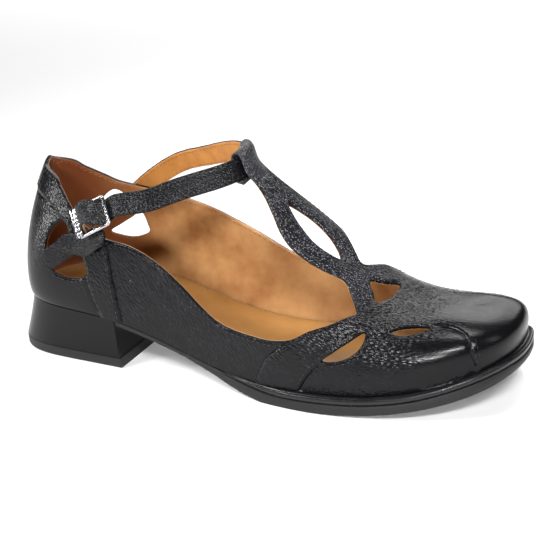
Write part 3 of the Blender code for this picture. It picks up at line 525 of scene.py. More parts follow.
def collarRing(step):
    lateral = [(0.0, -back)] + spotsOf(-1, "z", lateralCollar) + spotsOf(-1, "y", throatLateral)
    medial = [(0.0, back)] + spotsOf(1, "z", medialCollar) + spotsOf(1, "y", throatMedial[::-1])
    legL = evenLine(spotsOf(-1, "y", legLateral), step)
    legM = evenLine(spotsOf(1, "y", legMedial), step)
    top = np.array([legL[-1] + (legM[0] - legL[-1]) * k / 11.0 for k in range(1, 11)])
    return np.concatenate([evenLine(lateral, step), legL, top, legM, evenLine(medial, step)[::-1][:-1]])


def featherRing(step):
    outer, inner = [np.stack(np.broadcast_arrays(featherAngles(side, step), float(side)), axis=1)
                    for side in (-1, 1)]
    return np.concatenate([outer, inner[::-1][1:-1]])


def crownHole(table, step):
    return evenLine([patternSpot(1 if y >= 0 else -1, x, y, "y") for x, y in table], step, closed=True)


edgeStep = upperLook["edgeStep"]
holes = {"eye": crownHole(eyeHole, edgeStep), "triangle": crownHole(triangleHole, edgeStep)}
for side, name in ((-1, "Out"), (1, "In")):
    for hole, by, table in (("windowUpper", "z", windowUpper), ("windowLower", "z", windowLower),
                            ("slotSide", "z", frontLines[side]["slotSide"]),
                            ("slotTop", "y", frontLines[side]["slotTop"])):
        holes[hole + name] = evenLine(spotsOf(side, by, table), edgeStep, closed=True)
collar = collarRing(edgeStep)
leatherRings = [featherRing(1.6), collar] + list(holes.values())


def raisedAreas():
    bands, wings, seams = [], [], {}
    for side, name in ((-1, "Out"), (1, "In")):
        top = lateralCollar[:6] if side < 0 else medialCollar[:5]
        edge = evenLine([(0.0, side * back)] + spotsOf(side, "z", top), 2.0)
        front = evenLine(spotsOf(side, "z", bandFront), 2.0)
        seam = evenLine(spotsOf(side, "z", collarSeam), 2.0)
        foot = np.array([(front[-1][0], side * 1.03), (seam[-1][0], side * 1.03)])
        ring = np.concatenate([edge, front, foot, seam[::-1], [(0.0, side * (back + 0.12))]])
        bands.append(flatOf(ring))
        seams["collar" + name] = seam
        seams["bandFront" + name] = front
        lines = frontLines[side]
        slot = spotsOf(side, "z", lines["slotSide"])
        topSlot = spotsOf(side, "y", lines["slotTop"])
        rear = evenLine(spotsOf(side, "z", lines["wingRear"]), 2.0)
        joined = evenLine([slot[3]] + spotsOf(side, "y", lines["wingTop"]) + [topSlot[0]], 2.0)
        cap = spotsOf(side, "y", lines["capSeam"]) + spotsOf(side, "z", capSide)
        cap = evenLine([topSlot[3]] + cap, 2.0)
        foot = np.array([(cap[-1][0], side * 1.03), (rear[-1][0], side * 1.03)])
        ring = np.concatenate([np.array(slot[:3]), joined, np.array(topSlot[1:3]), cap, foot, rear[::-1]])
        wings.append(flatOf(ring))
        seams.update({"wingRear" + name: rear, "wingTop" + name: joined, "cap" + name: cap})
    lateral = evenLine(spotsOf(-1, "z", quarterSeam), 2.0)
    medial = evenLine(spotsOf(1, "z", quarterSeam), 2.0)
    seams["quarterOut"], seams["quarterIn"] = lateral, medial
    inner = np.array(spotsOf(-1, "z", ((160.5, 34),)) + [(92.0, -0.3), (92.0, 0.3)]
                     + spotsOf(1, "z", ((160.5, 36.5),)))
    around = [(a, 1.03) for a in np.linspace(medial[-1][0], 180.0, 40)]
    around += [(a, -1.03) for a in np.linspace(180.0, lateral[-1][0], 40)]
    ring = np.concatenate([lateral[::-1], inner, medial, around])
    return bands, wings, flatOf(ring), seams


bands, wings, frontPiece, seams = raisedAreas()


def coverOf(flat, ring):
    # 1 on a raised piece, 0 off it, with a steep turned edge between
    away = ringDistance(flat, ring)
    away = np.where(insideRing(flat, ring), away, -away)
    return softStep(away, -0.28, 0.22)


def raisedShare(flat):
    total = coverOf(flat, frontPiece)
    for ring in wings:
        total = total * (1.0 - coverOf(flat, ring))
    for ring in bands:
        total = np.maximum(total, coverOf(flat, ring))
    return total


# soft creases and rolls, listed: side, then (x, z) points, depth and half width in mm
creases = (
    (-1, "z", ((66, 55), (74, 47), (84, 39)), 0.16, 2.2),
    (-1, "z", ((71, 60), (83, 51), (96, 41)), 0.14, 2.4),
    (-1, "z", ((118, 30), (128, 25), (138, 21)), 0.14, 2.6),
    (-1, "z", ((172, 20), (186, 22), (199, 26)), 0.10, 2.8),
    (1, "z", ((86, 52), (104, 44), (120, 35)), 0.7, 6.0),
    (1, "z", ((96, 40), (112, 33), (130, 25)), 0.5, 5.0),
    (1, "z", ((126, 34), (140, 27), (154, 22)), 0.45, 4.5),
    (-1, "y", ((190, -20), (197, -17), (204, -12)), 0.12, 2.2),
)


def creaseDepth(flat):
    total = np.zeros(len(flat))
    for side, by, table, depth, half in creases:
        line = evenLine(spotsOf(side, by, table), 3.0)
        line = flatOf(line)
        away = ringDistance(flat, line, closed=False)
        total += depth * np.exp(-(away / half) ** 2)
    return total


def buildUpperSheets():
    guides = []
    for name in seams:
        line = evenLine(seams[name][::2] if len(seams[name]) > 6 else seams[name], 1.3)
        guides += [(shiftLine(line, d), upperLook["seamClear"]) for d in upperLook["seamLines"]]
    away = upperLook["rollLines"]
    rolls = [shiftLine(ring, d, closed=True) for ring in leatherRings[1:] for d in (-away, away)]
    rolls = [(np.concatenate([ring, ring[:1]]), upperLook["rollClear"]) for ring in rolls]
    return cutPanel(leatherRings, rolls + guides, upperLook["step"])


panel = buildUpperSheets()
# the front piece and its wings are cut with the grain running another way from the quarters
turnBy = np.where(panel["flat"][:, 1] > 0, 1.7, 0.0)
turnBy = np.where(insideRing(panel["flat"], frontPiece), 1.15, turnBy)
px, py = panel["flat"][:, 0], panel["flat"][:, 1]
panel["grainFlat"] = np.stack([px * np.cos(turnBy) + py * np.sin(turnBy),
                               py * np.cos(turnBy) - px * np.sin(turnBy)], axis=1)
print("upper cut:", len(panel["spots"]), "points,", len(panel["triangles"]), "triangles")


toeTip = {"at": (222.5, 8.0, 33.0), "reach": 11.0, "joined": 0.35, "passes": 90}  # mm, smoothing passes


def lastedShell(name, panel, outerAway, innerAway, material, nodes=(), marks=None):
    # the flat panel pulled over the last and given its thickness
    place, normal = onLast(panel["spots"][:, 0], panel["spots"][:, 1])
    place[:, 2] += upperSeat
    outer = toFrame(place + normal * outerAway[:, None])
    inner = toFrame(place + normal * innerAway[:, None])
    mesh = bmesh.new()
    index = mesh.verts.layers.int.new("spot")
    verts = []
    for i, p in enumerate(outer):
        vert = mesh.verts.new(p)
        vert[index] = i
        verts.append(vert)
    for a, b, c in panel["triangles"]:
        mesh.faces.new((verts[a], verts[b], verts[c]))
    bmesh.ops.delete(mesh, geom=[v for v in mesh.verts if not v.link_faces], context="VERTS")
    made = bmesh.ops.extrude_face_region(mesh, geom=mesh.faces[:], use_keep_orig=True)
    for vert in made["geom"]:
        if isinstance(vert, bmesh.types.BMVert):
            vert.co = inner[vert[index]]
    # the leather lies evenly over the very tip of the last
    tip = toFrame(toeTip["at"])
    middle, reach = Vector(tip[:2]), toeTip["reach"] / 1000
    near = [v for v in mesh.verts if (v.co.xy - middle).length < reach / 2 and v.co.z > tip[2]]
    bmesh.ops.remove_doubles(mesh, verts=near, dist=toeTip["joined"] / 1000)
    near = [v for v in mesh.verts if (v.co.xy - middle).length < reach and v.co.z > tip[2]]
    for turn in range(toeTip["passes"]):
        bmesh.ops.smooth_vert(mesh, verts=near, factor=0.5, use_axis_z=True)
    piece = finishPiece(name, mesh, material, nodes, sharp=50, merge=0.000002)
    data = piece.data
    ids = np.zeros(len(data.vertices), np.int32)
    data.attributes["spot"].data.foreach_get("value", ids)
    corner = np.zeros(len(data.loops), np.int32)
    data.loops.foreach_get("vertex_index", corner)
    uv = data.uv_layers.new(name="pattern")
    uv.data.foreach_set("uv", (panel["grainFlat"][ids][corner] / 1000.0).ravel())
    for label, values in (marks or {}).items():
        layer = data.attributes.new(label, "FLOAT", "POINT")
        layer.data.foreach_set("value", values[ids].astype(np.float32))
    data.attributes.remove(data.attributes["spot"])
    return piece


# materials: the small parts that they share

def noiseOf(tree, source, size, detail, rough=0.5):
    # clouds about size millimetres across
    return addNode(tree, "ShaderNodeTexNoise", {"Scale": 1000 / size, "Detail": detail, "Roughness": rough},
                   {"Vector": source})


def rangeOf(tree, value, low, high, start, end, kind="LINEAR"):
    return addNode(tree, "ShaderNodeMapRange", {"interpolation_type": kind, "From Min": low, "From Max": high,
                                                "To Min": start, "To Max": end}, {"Value": value}).outputs[0]


def mathOf(tree, operation, *values):
    # each value is a number or the socket it comes from
    numbers = {k: value for k, value in enumerate(values) if isinstance(value, float)}
    sockets = {k: value for k, value in enumerate(values) if not isinstance(value, float)}
    return addNode(tree, "ShaderNodeMath", dict(numbers, operation=operation), sockets).outputs[0]


def blendOf(tree, share, low, high):
    # low and high are hex colours or the sockets they come from
    numbers = {k: linearColour(value) for k, value in ((6, low), (7, high)) if isinstance(value, str)}
    sockets = {k: value for k, value in ((6, low), (7, high)) if not isinstance(value, str)}
    return addNode(tree, "ShaderNodeMix", {"data_type": "RGBA"} | numbers,
                   {0: share} | sockets).outputs[2]


def bumpOf(tree, height, millimetres, strength=1.0, under=None):
    links = {"Height": height} if under is None else {"Height": height, "Normal": under}
    return addNode(tree, "ShaderNodeBump", {"Strength": strength, "Distance": millimetres / 1000.0},
                   links).outputs[0]


def markOf(tree, name):
    return addNode(tree, "ShaderNodeAttribute", {"attribute_name": name}).outputs["Fac"]


def fillShader(tree, shader, sockets, values):
    for name, socket in sockets.items():
        tree.links.new(socket, shader.inputs[name])
    for name, value in values.items():
        shader.inputs[name].default_value = value


def leatherMaterial(name, colour, look, pattern=True):
    # full-grain leather pressed with a fine grain: black pebbles, each with its own small light, and a
    # painted highlight on the grain tops
    material, tree, shader = newMaterial(name)
    where = addNode(tree, "ShaderNodeTexCoord")
    source = where.outputs["UV" if pattern else "Object"]
    turned = addNode(tree, "ShaderNodeMapping", {"vector_type": "TEXTURE", "Rotation": (0, 0, look["turn"]),
                                                 "Scale": look["stretch"]}, {"Vector": source}).outputs[0]
    warp = noiseOf(tree, turned, 3.5, 2.0)
    bent = addNode(tree, "ShaderNodeVectorMath", {"operation": "MULTIPLY_ADD", 1: (0.0009,) * 3},
                   {0: warp.outputs["Color"], 2: turned}).outputs[0]
    pebble = addNode(tree, "ShaderNodeTexVoronoi",
                     {"feature": "SMOOTH_F1", "Smoothness": 0.35, "Randomness": 0.95,
                      "Scale": 1000 / look["pebble"]}, {"Vector": bent})
    domes = rangeOf(tree, pebble.outputs["Distance"], 0.15, 0.75, 1.0, 0.0)
    pores = noiseOf(tree, source, 0.45, 3.0).outputs["Fac"]
    height = mathOf(tree, "MULTIPLY_ADD", pores, look["poreShare"], domes)
    swell = noiseOf(tree, source, 14.0, 2.0).outputs["Fac"]
    depth = rangeOf(tree, swell, 0.35, 0.65, look["grainLow"], 1.0)
    if pattern:
        depth = mathOf(tree, "MULTIPLY", depth, markOf(tree, "grainDepth"))
    bump = bumpOf(tree, mathOf(tree, "MULTIPLY", height, depth), look["grainHeight"])
    rough = rangeOf(tree, domes, 0.2, 1.0, look["rough"] + 0.12, look["rough"])
    tint = blendOf(tree, swell, colour, look["worn"])
    # painted highlight on the tops of the grain, in short broken lines
    streak = noiseOf(tree, bent, look["streak"], 2.5, 0.6).outputs["Fac"]
    glintShare = rangeOf(tree, streak, look["topFrom"], look["topFrom"] + 0.12, 0.0, look["topShare"])
    tint = blendOf(tree, mathOf(tree, "MULTIPLY", glintShare, depth), tint, look["paintedGlint"])
    if pattern:
        # the T bar: dull, with light specks painted on as glints, and a crease along its turned edges
        dull = markOf(tree, "barShare")
        away = mathOf(tree, "ABSOLUTE", mathOf(tree, "SUBTRACT", markOf(tree, "edgeAway"), 1.9))
        fold = rangeOf(tree, away, 0.0, 0.6, -1.0, 0.0, "SMOOTHSTEP")
        bump = bumpOf(tree, mathOf(tree, "MULTIPLY", fold, dull), 0.35, under=bump)
        rough = mathOf(tree, "MULTIPLY_ADD", dull, 0.10, rough)
        specks = addNode(tree, "ShaderNodeTexVoronoi", {"feature": "F1", "Scale": 1000 / 0.95},
                         {"Vector": where.outputs["Object"]})
        paintedSpecks = rangeOf(tree, specks.outputs["Distance"], 0.12, 0.36, 1.0, 0.0)
        tint = blendOf(tree, dull, tint, blendOf(tree, paintedSpecks, "#151518", "#808088"))
    fillShader(tree, shader, {"Base Color": tint, "Roughness": rough, "Normal": bump},
               {"IOR": 1.5, "Specular IOR Level": look["level"]})
    return material


# paintedGlint is the colour of the painted highlight on the grain tops and topShare how much is painted;
# strongest in the T bar look
quarterLook = {"turn": -0.85, "stretch": (2.4, 1.0, 1.0), "pebble": 1.0, "poreShare": 0.18, "grainLow": 0.45,
               "grainHeight": 0.32, "rough": 0.15, "worn": "#0c0c0e", "level": 0.18,
               "streak": 1.0, "topFrom": 0.57, "topShare": 0.14, "paintedGlint": "#5c5c63"}
plainLook = dict(quarterLook, stretch=(1.0, 1.0, 1.0))
strapLook = dict(plainLook, streak=0.8, topShare=0.2, pebble=0.75, grainHeight=0.2, rough=0.14, turn=0.0)
barLook = dict(plainLook, pebble=0.8, grainHeight=0.36, rough=0.28, level=0.4, worn="#1c1c1f", streak=0.7,
               topFrom=0.53, topShare=0.9, paintedGlint="#808088")
glazedLeather = leatherMaterial("glazedBlackLeather", "#0b0b0d", quarterLook)
strapLeather = leatherMaterial("strapBlackLeather", "#0b0b0d", strapLook, pattern=False)
loopLeather = leatherMaterial("softBlackLeather", "#1b1b1e", barLook, pattern=False)


def tanMaterial(name, light, dark, cloud, rough, paintedShade=None):
    # vegetable-tanned lining leather, aniline dyed: warm, matt, clouded, with fine hair pores
    material, tree, shader = newMaterial(name)
    source = addNode(tree, "ShaderNodeTexCoord").outputs["Object"]
    clouds = noiseOf(tree, source, cloud, 4.0, 0.6).outputs["Fac"]
    tint = blendOf(tree, rangeOf(tree, clouds, 0.3, 0.7, 0.0, 1.0), dark, light)
    grain = addNode(tree, "ShaderNodeTexVoronoi", {"Scale": 1000 / 0.7, "feature": "F1"}, {"Vector": source})
    pores = noiseOf(tree, source, 1.6, 3.0).outputs["Fac"]
    height = mathOf(tree, "MULTIPLY_ADD", grain.outputs["Distance"], 0.5, pores)
    dull = rangeOf(tree, clouds, 0.0, 1.0, rough - 0.08, rough + 0.08)
    # painted shade: the lining is darkened towards the back of the heel, where little light reaches
    if paintedShade:
        tint = blendOf(tree, markOf(tree, "heelPaintedShade"), tint, paintedShade)
    bump = bumpOf(tree, height, 0.08, 0.6)
    fillShader(tree, shader, {"Base Color": tint, "Roughness": dull, "Normal": bump},
               {"IOR": 1.46, "Sheen Weight": 0.05})
    return material


# the lining's clouds are its own aniline tone, made strong enough to stand also for painted soft light
# streaks
liningLeather = tanMaterial("tanLiningLeather", "#B68A59", "#7F4D25", 26.0, 0.42, "#6e3a1c")
sockLeather = tanMaterial("paleSockLeather", "#A2753B", "#8D602A", 30.0, 0.45)
strapBacking = tanMaterial("tanStrapBacking", "#B9803F", "#99602A", 12.0, 0.5)


def soleMaterial(name, colour, rough, speck):
    # moulded rubber: dull black, lightly stippled from the mould
    material, tree, shader = newMaterial(name)
    source = addNode(tree, "ShaderNodeTexCoord").outputs["Object"]
    fine = noiseOf(tree, source, 0.8, 4.0).outputs["Fac"]
    broad = noiseOf(tree, source, 9.0, 2.0).outputs["Fac"]
    fillShader(tree, shader, {"Base Color": blendOf(tree, broad, colour, "#141416"),
                              "Roughness": rangeOf(tree, broad, 0.0, 1.0, rough - 0.1, rough + 0.1),
                              "Normal": bumpOf(tree, fine, speck, 0.5)},
               {"IOR": 1.52, "Specular IOR Level": 0.35})
    return material


mattRubber = soleMaterial("mouldedBlackRubber", "#0b0b0c", 0.55, 0.08)
glossRubber = soleMaterial("polishedWeltRubber", "#0a0a0b", 0.28, 0.03)


def metalMaterial(name, colour, rough):
    # nickel-plated steel, tumbled bright: mirror bright with fine swirls and a darker bloom
    material, tree, shader = newMaterial(name)
    source = addNode(tree, "ShaderNodeTexCoord").outputs["Object"]
    swirl = noiseOf(tree, source, 1.5, 5.0).outputs["Fac"]
    fillShader(tree, shader, {"Base Color": blendOf(tree, swirl, colour, "#9a9a9e"),
                              "Roughness": rangeOf(tree, swirl, 0.3, 0.7, rough - 0.05, rough + 0.08),
                              "Normal": bumpOf(tree, swirl, 0.03, 0.25)}, {"Metallic": 1.0})
    return material


nickel = metalMaterial("brightNickelPlate", "#dcdcdf", 0.14)


def threadMaterial(name, colour, sheen):
    # bonded nylon sewing thread: twisted plies, with a thin painted sheen along them
    material, tree, shader = newMaterial(name)
    source = addNode(tree, "ShaderNodeTexCoord").outputs["Object"]
    plies = addNode(tree, "ShaderNodeTexWave", {"Scale": 1000 / 1.2, "Distortion": 1.0}, {"Vector": source})
    fillShader(tree, shader, {"Base Color": blendOf(tree, plies.outputs["Fac"], colour, sheen),
                              "Normal": bumpOf(tree, plies.outputs["Fac"], 0.05, 0.4)}, {"Roughness": 0.4})
    return material


blackThread = threadMaterial("blackThread", "#0c0c0e", "#242428")
tanThread = threadMaterial("tanThread", "#7a4318", "#9a6230")
print("materials ready")

# upper: black leather outside, tan lining inside

place = onLast(panel["spots"][:, 0], panel["spots"][:, 1])[0]
raised = raisedShare(panel["flat"])
dents = creaseDepth(panel["flat"])
roll = upperLook["edgeRoll"] * (1.0 - softStep(panel["edgeAway"], 0.0, 0.5))
atFeather = softStep(1.0 - np.abs(panel["spots"][:, 1]), 0.0, 0.02)
roll = roll * atFeather
# the grain is deep on the quarter, pulled nearly smooth over the toe and the seat of the heel
toeSmooth = softStep(place[:, 0], 196, 226)
seatSmooth = 1.0 - softStep(place[:, 2] - lastColumn("seat", panel["spots"][:, 0]), 4, 22)
heelSmooth = softStep(60.0 - place[:, 0], 0, 40) * 0.5
# the T bar is left dull and pebbly, with painted light glints, and its edges are turned under a fine crease
barShare = softStep(place[:, 2], 38, 50) * softStep(place[:, 0], 112, 122)
barShare = barShare * softStep(192.0 - place[:, 0], 0, 10)
barShare = barShare * (np.abs(place[:, 1] - 2.0) < 32)
barShare = barShare * softStep(place[:, 2] - 32.0 - np.abs(place[:, 1]) * 0.25, 0, 8)
grainDepth = np.clip(1.0 - 0.85 * toeSmooth - 0.55 * seatSmooth - heelSmooth, 0.1, 1.0)

groove = np.zeros(len(place))
for line in seams.values():
    away = ringDistance(panel["flat"], flatOf(line), closed=False)
    groove = np.maximum(groove, np.exp(-(away / upperLook["grooveHalf"]) ** 2))
outerAway = upperLook["raise"] * raised - roll - dents - upperLook["groove"] * groove
lastedShell("upperLeather", panel, outerAway, np.full(len(place), -upperLook["skin"]), glazedLeather,
            ("upper",), {"grainDepth": grainDepth, "barShare": barShare,
                                          "edgeAway": np.minimum(panel["edgeAway"], 6.0)})
# painted shade: the lining grows darker towards the back of the heel
heelPaintedShade = softStep(72.0 - place[:, 0], 0, 50)
lastedShell("upperLining", panel, np.full(len(place), -upperLook["skin"] - 0.02),
            -upperLook["wall"] + roll * 0.6 - dents * 0.9, liningLeather,
            marks={"heelPaintedShade": heelPaintedShade})
print("upper and lining lasted")

# stitching

stitchLook = {"length": 2.0, "pitch": 2.7, "width": 0.42, "height": 0.30, "clear": 1.1, "above": 0.04}

leatherFlats = [flatOf(ring) for ring in leatherRings]


def patternStitches(line, away, closed=False):
    # frames of the stitches along a pattern line, a distance off the leather
    dense = evenLine(line, stitchLook["pitch"], closed=closed)
    place, normal = onLast(dense[:, 0], dense[:, 1])
    place[:, 2] += upperSeat
    flat = flatOf(dense)
    lift = upperLook["raise"] * raisedShare(flat) if away > -0.5 else np.zeros(len(flat))
    place += normal * (lift + away)[:, None]
    return stitchFrames(place, normal, onLeather(flat, leatherFlats, stitchLook["clear"]), closed)


def stitchFrames(place, normal, good, closed=False):
    frames = []
    count = len(place) if closed else len(place) - 1
    for i in range(count):
        j = (i + 1) % len(place)
        along = place[j] - place[i]
        length = np.linalg.norm(along)
        if not (0.8 < length < 6 and good[i] and good[j]):
            continue
        along /= length
        up = normal[i] - along * (along @ normal[i])
        up /= np.linalg.norm(up)
        frames.append(((place[i] + place[j]) / 2, along, np.cross(up, along), up))
    return frames


def sewStitches(name, frames, material):
    # one small tapered thread end per stitch
    mesh = bmesh.new()
    sizes = [stitchLook[k] / 2000.0 for k in ("length", "width", "height")]
    for centre, *axes in frames:
        matrix = Matrix.Identity(4)
        for k in range(3):
            matrix.col[k][:3] = axes[k] * sizes[k]
        matrix.translation = toFrame(centre)
        bmesh.ops.create_icosphere(mesh, subdivisions=1, radius=1.0, matrix=matrix)
    return finishPiece(name, mesh, material, sharp=180, merge=0.0)


blackFrames, tanFrames = [], []
inset, above = upperLook["stitchIn"], stitchLook["above"]
for sideways in (-inset, inset):
    edge = shiftLine(collar, sideways, closed=True)
    blackFrames += patternStitches(edge[::3], above, closed=True)
    tanFrames += patternStitches(edge[::3], -upperLook["wall"] - 0.03, closed=True)
    for ring in holes.values():
        edge = shiftLine(ring, sideways * 0.9, closed=True)
        blackFrames += patternStitches(edge[::2], above, closed=True)
print("stitches:", len(blackFrames), len(tanFrames))
sewStitches("collarStitches", blackFrames, blackThread)
sewStitches("liningStitches", tanFrames, tanThread)

seamFrames = []
for name, distances in (("collarOut", (1.5,)), ("collarIn", (-1.5,)), ("bandFrontOut", (-1.5,)),
                        ("bandFrontIn", (1.5,)), ("quarterOut", (1.4,)), ("quarterIn", (-1.4,)),
                        ("wingRearOut", (-1.4,)), ("wingRearIn", (1.4,)), ("wingTopOut", (1.4,)),
                        ("wingTopIn", (-1.4,)), ("capOut", (1.3, 3.2)), ("capIn", (-1.3, -3.2))):
    for distance in distances:
        line = shiftLine(seams[name], distance)
        seamFrames += patternStitches(line[::2], above)
sewStitches("seamStitches", seamFrames, blackThread)
print("seam stitches:", len(seamFrames))

# sole, welt, heel and insole

featherX, _, featherZ = featherLine(fineAngles, -1)[:3]
soleLook = {"toeSpring": 17.0, "springStart": 162.0, "waistEnd": 142.0, "welt": 2.8, "weltWaist": 0.9,
            "lift": 5.0, "breast": 63.0, "breastSlant": 2.0, "heelEnd": 66.0}


def seatHeight(x):
    return np.interp(x, featherX, featherZ)


def underside(x):
    edge = np.interp(x, (0, 100, 115, 130, 142), (2.2, 2.2, 3.6, 6.6, 8.2))
    start = soleLook["springStart"]
    spring = soleLook["toeSpring"] * np.clip((x - start) / (soleToe - start), 0, 1) ** 2
    return np.where(x < soleLook["waistEnd"], np.maximum(seatHeight(x) - edge, 0.0), spring)


def weltThickness(x):
    return soleLook["weltWaist"] + (soleLook["welt"] - soleLook["weltWaist"]) * softStep(x, 122, 152)


def sectionPlate(angles, rows, across=9):
    # closed plate swept from heel to toe: rows give outward mm from the feather, then height
    loops = []
    for side in (-1, 1):
        x, y, _, nx, ny = featherLine(angles, side)
        inset = lastColumn("insetIn" if side > 0 else "insetOut", angles)
        line = []
        for out, height in rows:
            reach = out(angles, inset)
            px, py = x + nx * reach, y + ny * reach
            line.append(np.stack([px, py, height(px)], axis=1))
        loops.append(np.stack(line, axis=1))
    lateral, medial = loops
    share = np.linspace(0, 1, across + 2)[1:-1][None, :, None]
    low = medial[:, :1] + (lateral[:, :1] - medial[:, :1]) * share
    high = lateral[:, -1:] + (medial[:, -1:] - lateral[:, -1:]) * share
    return np.concatenate([lateral, high, medial[:, ::-1], low, lateral[:, :1]], axis=1)


def fadeIn(angles):
    return softStep(angles, 70.0, 100.0)


def outsoleRow(extra, share, up):
    # share of the way from the underside to the top, then up by some mm
    def out(a, inset):
        under = 1.6 * (1 - softStep(a, 52, 64))
        return inset * fadeIn(a) - 0.5 * (1 - fadeIn(a)) + extra * fadeIn(a) - under

    def height(x):
        top = seatHeight(x) - np.where(x > 120.0, weltThickness(x) + 0.15, 0.25)
        return underside(x) + (top - underside(x)) * share + up
    return out, height


def weltRow(extra, share, up):
    # share of the welt's thickness below the feather, then up by some mm
    return (lambda a, inset: extra * (0.12 + 0.88 * softStep(a, 84, 104)) * inset / 3.3,
            lambda x: seatHeight(x) - weltThickness(x) * share + up)


# from the tread up the side: outward, share, up
outsoleRows = [outsoleRow(*row) for row in (
    (-1.3, 0.0, 0.0), (-0.35, 0.0, 0.35), (0.0, 0.28, 0.0), (0.05, 0.72, 0.0), (-0.25, 1.0, -0.35),
    (-0.75, 1.0, -0.05), (-1.6, 1.0, 0.0))]
weltRows = [weltRow(*row) for row in (
    (2.2, 1.0, 0.0), (2.95, 1.0, 0.12), (3.25, 0.72, 0.0), (3.42, 0.45, 0.0), (3.35, 0.2, 0.0),
    (3.0, 0.0, -0.12), (2.55, 0.0, 0.05), (2.1, 0.0, -0.1), (1.85, 0.0, -0.45), (1.55, 0.0, -0.1),
    (1.1, 0.0, 0.22), (0.55, 0.0, 0.3), (0.1, 0.0, 0.1), (-1.2, 0.0, 0.1))]
toeFine = np.linspace(177, 180, 7)
soleAngles = np.unique(np.concatenate([np.linspace(0, 180, 301), np.linspace(0, 3, 7), toeFine]))
mesh = gridSheet(sectionPlate(soleAngles, outsoleRows))
finishPiece("outsoleEdge", mesh, mattRubber, ("outsole",), sharp=40)
mesh = gridSheet(sectionPlate(np.unique(np.concatenate([np.linspace(80, 180, 241), toeFine])), weltRows))
bmesh.ops.holes_fill(mesh, edges=mesh.edges[:], sides=200)
finishPiece("weltBead", mesh, glossRubber, ("welt",), sharp=60)


def heelPlate(rows, breastCut):
    # rows from the lift upwards, cut off straight at the breast
    mesh = gridSheet(sectionPlate(np.linspace(0, soleLook["heelEnd"], 121), rows))
    bmesh.ops.remove_doubles(mesh, verts=mesh.verts[:], dist=0.00001)
    low, high = breastCut
    point = toFrame((high[0], 0, high[1]))
    normal = Vector((high[1] - low[1], 0, -(high[0] - low[0]))).normalized()
    cut = bmesh.ops.bisect_plane(mesh, geom=mesh.verts[:] + mesh.edges[:] + mesh.faces[:], dist=0.000001,
                                 plane_co=point, plane_no=normal, clear_outer=True)
    rim = [e for e in cut["geom_cut"] if isinstance(e, bmesh.types.BMEdge)]
    bmesh.ops.edgeloop_fill(mesh, edges=rim)
    return mesh


def coverRow(share):
    # share 1 is at the lift, 0 at the seat
    grow = share ** 1.15
    return (lambda a, inset: -0.4 + (inset + 0.4) * grow,
            lambda x: (seatHeight(x) - 0.2) * (1 - share) + (liftHigh + 0.25) * share)


def levelRow(extra, high):
    return lambda a, inset: inset + extra, lambda x: np.full_like(x, high)


liftHigh = soleLook["lift"]
heelRows = [levelRow(-0.5, liftHigh + 0.15)]
heelRows += [coverRow(share) for share in (1.0, 0.985, 0.8, 0.6, 0.4, 0.2, 0.06, 0.0)]
heelRows.append((lambda a, inset: -0.9 + 0 * inset, lambda x: seatHeight(x) - 0.1))
breast = soleLook["breast"]
mesh = heelPlate(heelRows, ((breast, 0.0), (breast - soleLook["breastSlant"], 24.0)))
finishPiece("heelCover", mesh, glazedLeather, ("heel",), sharp=40)
liftRows = [levelRow(*row) for row in ((-0.9, 0.0), (-0.2, 0.25), (0.0, 0.9), (0.1, liftHigh - 0.9),
                                       (-0.1, liftHigh - 0.25), (-0.6, liftHigh))]
mesh = heelPlate(liftRows, ((breast + 0.1, 0.0), (breast + 0.1, 10.0)))
finishPiece("topLift", mesh, mattRubber, ("top_lift",), sharp=40)


def sockRow(extra, up):
    return lambda a, inset: np.full_like(a, extra), lambda x: seatHeight(x) + up


sockRows = [sockRow(*row) for row in ((-3.4, 0.35), (-2.7, 0.6), (-2.6, 1.6), (-2.9, 2.2), (-3.6, 2.45),
                                      (-5.0, 2.55))]
mesh = gridSheet(sectionPlate(np.linspace(0, 180, 241), sockRows, across=15))
finishPiece("insoleSock", mesh, sockLeather, ("insole",), sharp=40)
print("sole, welt, heel and insole built")

# ankle strap

strapSizes = {"width": 10.2, "thick": 1.7, "backing": 0.6}
wallOut = 0.9 + 0.35  # raised leather and the air over it


def unitOf(vector):
    return np.asarray(vector, float) / np.linalg.norm(vector)


def onWall(side, x, z, away):
    angle, cross = patternSpot(side, x, z, "z")
    point, normal = onLast([angle], [cross])
    return point[0] + normal[0] * away + np.array((0, 0, upperSeat))


buckleCentre = np.array((57.0, -31.0, 75.6))
buckleAlong = unitOf((0.88, 0.0, 0.475))
buckleOut = np.array((-0.18, -0.92, 0.334))
buckleOut = unitOf(buckleOut - buckleAlong * (buckleOut @ buckleAlong))
buckleUp = -np.cross(buckleAlong, buckleOut)


def buckleSpot(along, out, up=0.0):
    return buckleCentre + buckleAlong * along + buckleOut * out + buckleUp * up


def pathThrough(points, count):
    points = np.asarray(points, float)
    t = np.linspace(0, len(points) - 1, 60 * len(points))
    dense = np.stack([naturalSpline(points[:, k], t) for k in range(points.shape[1])], axis=1)
    run = runAlong(dense[:, :3])
    return readTable(np.linspace(0, run[-1], count), run, dense)


def frameAlong(rows):
    points, leans = rows[:, :3], rows[:, 3:6]
    ahead = np.gradient(points, axis=0)
    ahead /= np.linalg.norm(ahead, axis=1, keepdims=True)
    across = leans - ahead * np.sum(leans * ahead, axis=1, keepdims=True)
    across /= np.linalg.norm(across, axis=1, keepdims=True)
    return points, ahead, across, np.cross(ahead, across)


def roundedFlat(width, low, high, corner):
    # section of a strap: across, then thickness; a flat oblong with rounded edges
    half = (high - low) / 2.0
    c = min(corner, half)
    edge = width / 2.0 - c
    spots = []
    for sign in (-1, 1):
        spots += [(a, low if sign < 0 else high) for a in np.linspace(sign * edge, -sign * edge, 7)]
        for t in np.linspace(-80, 80, 5) + (180 if sign > 0 else 0):
            turn = math.radians(t)
            spots.append((-sign * edge + c * math.cos(turn), (low + high) / 2.0 + half * math.sin(turn)))
    return np.array(spots + [spots[0]])


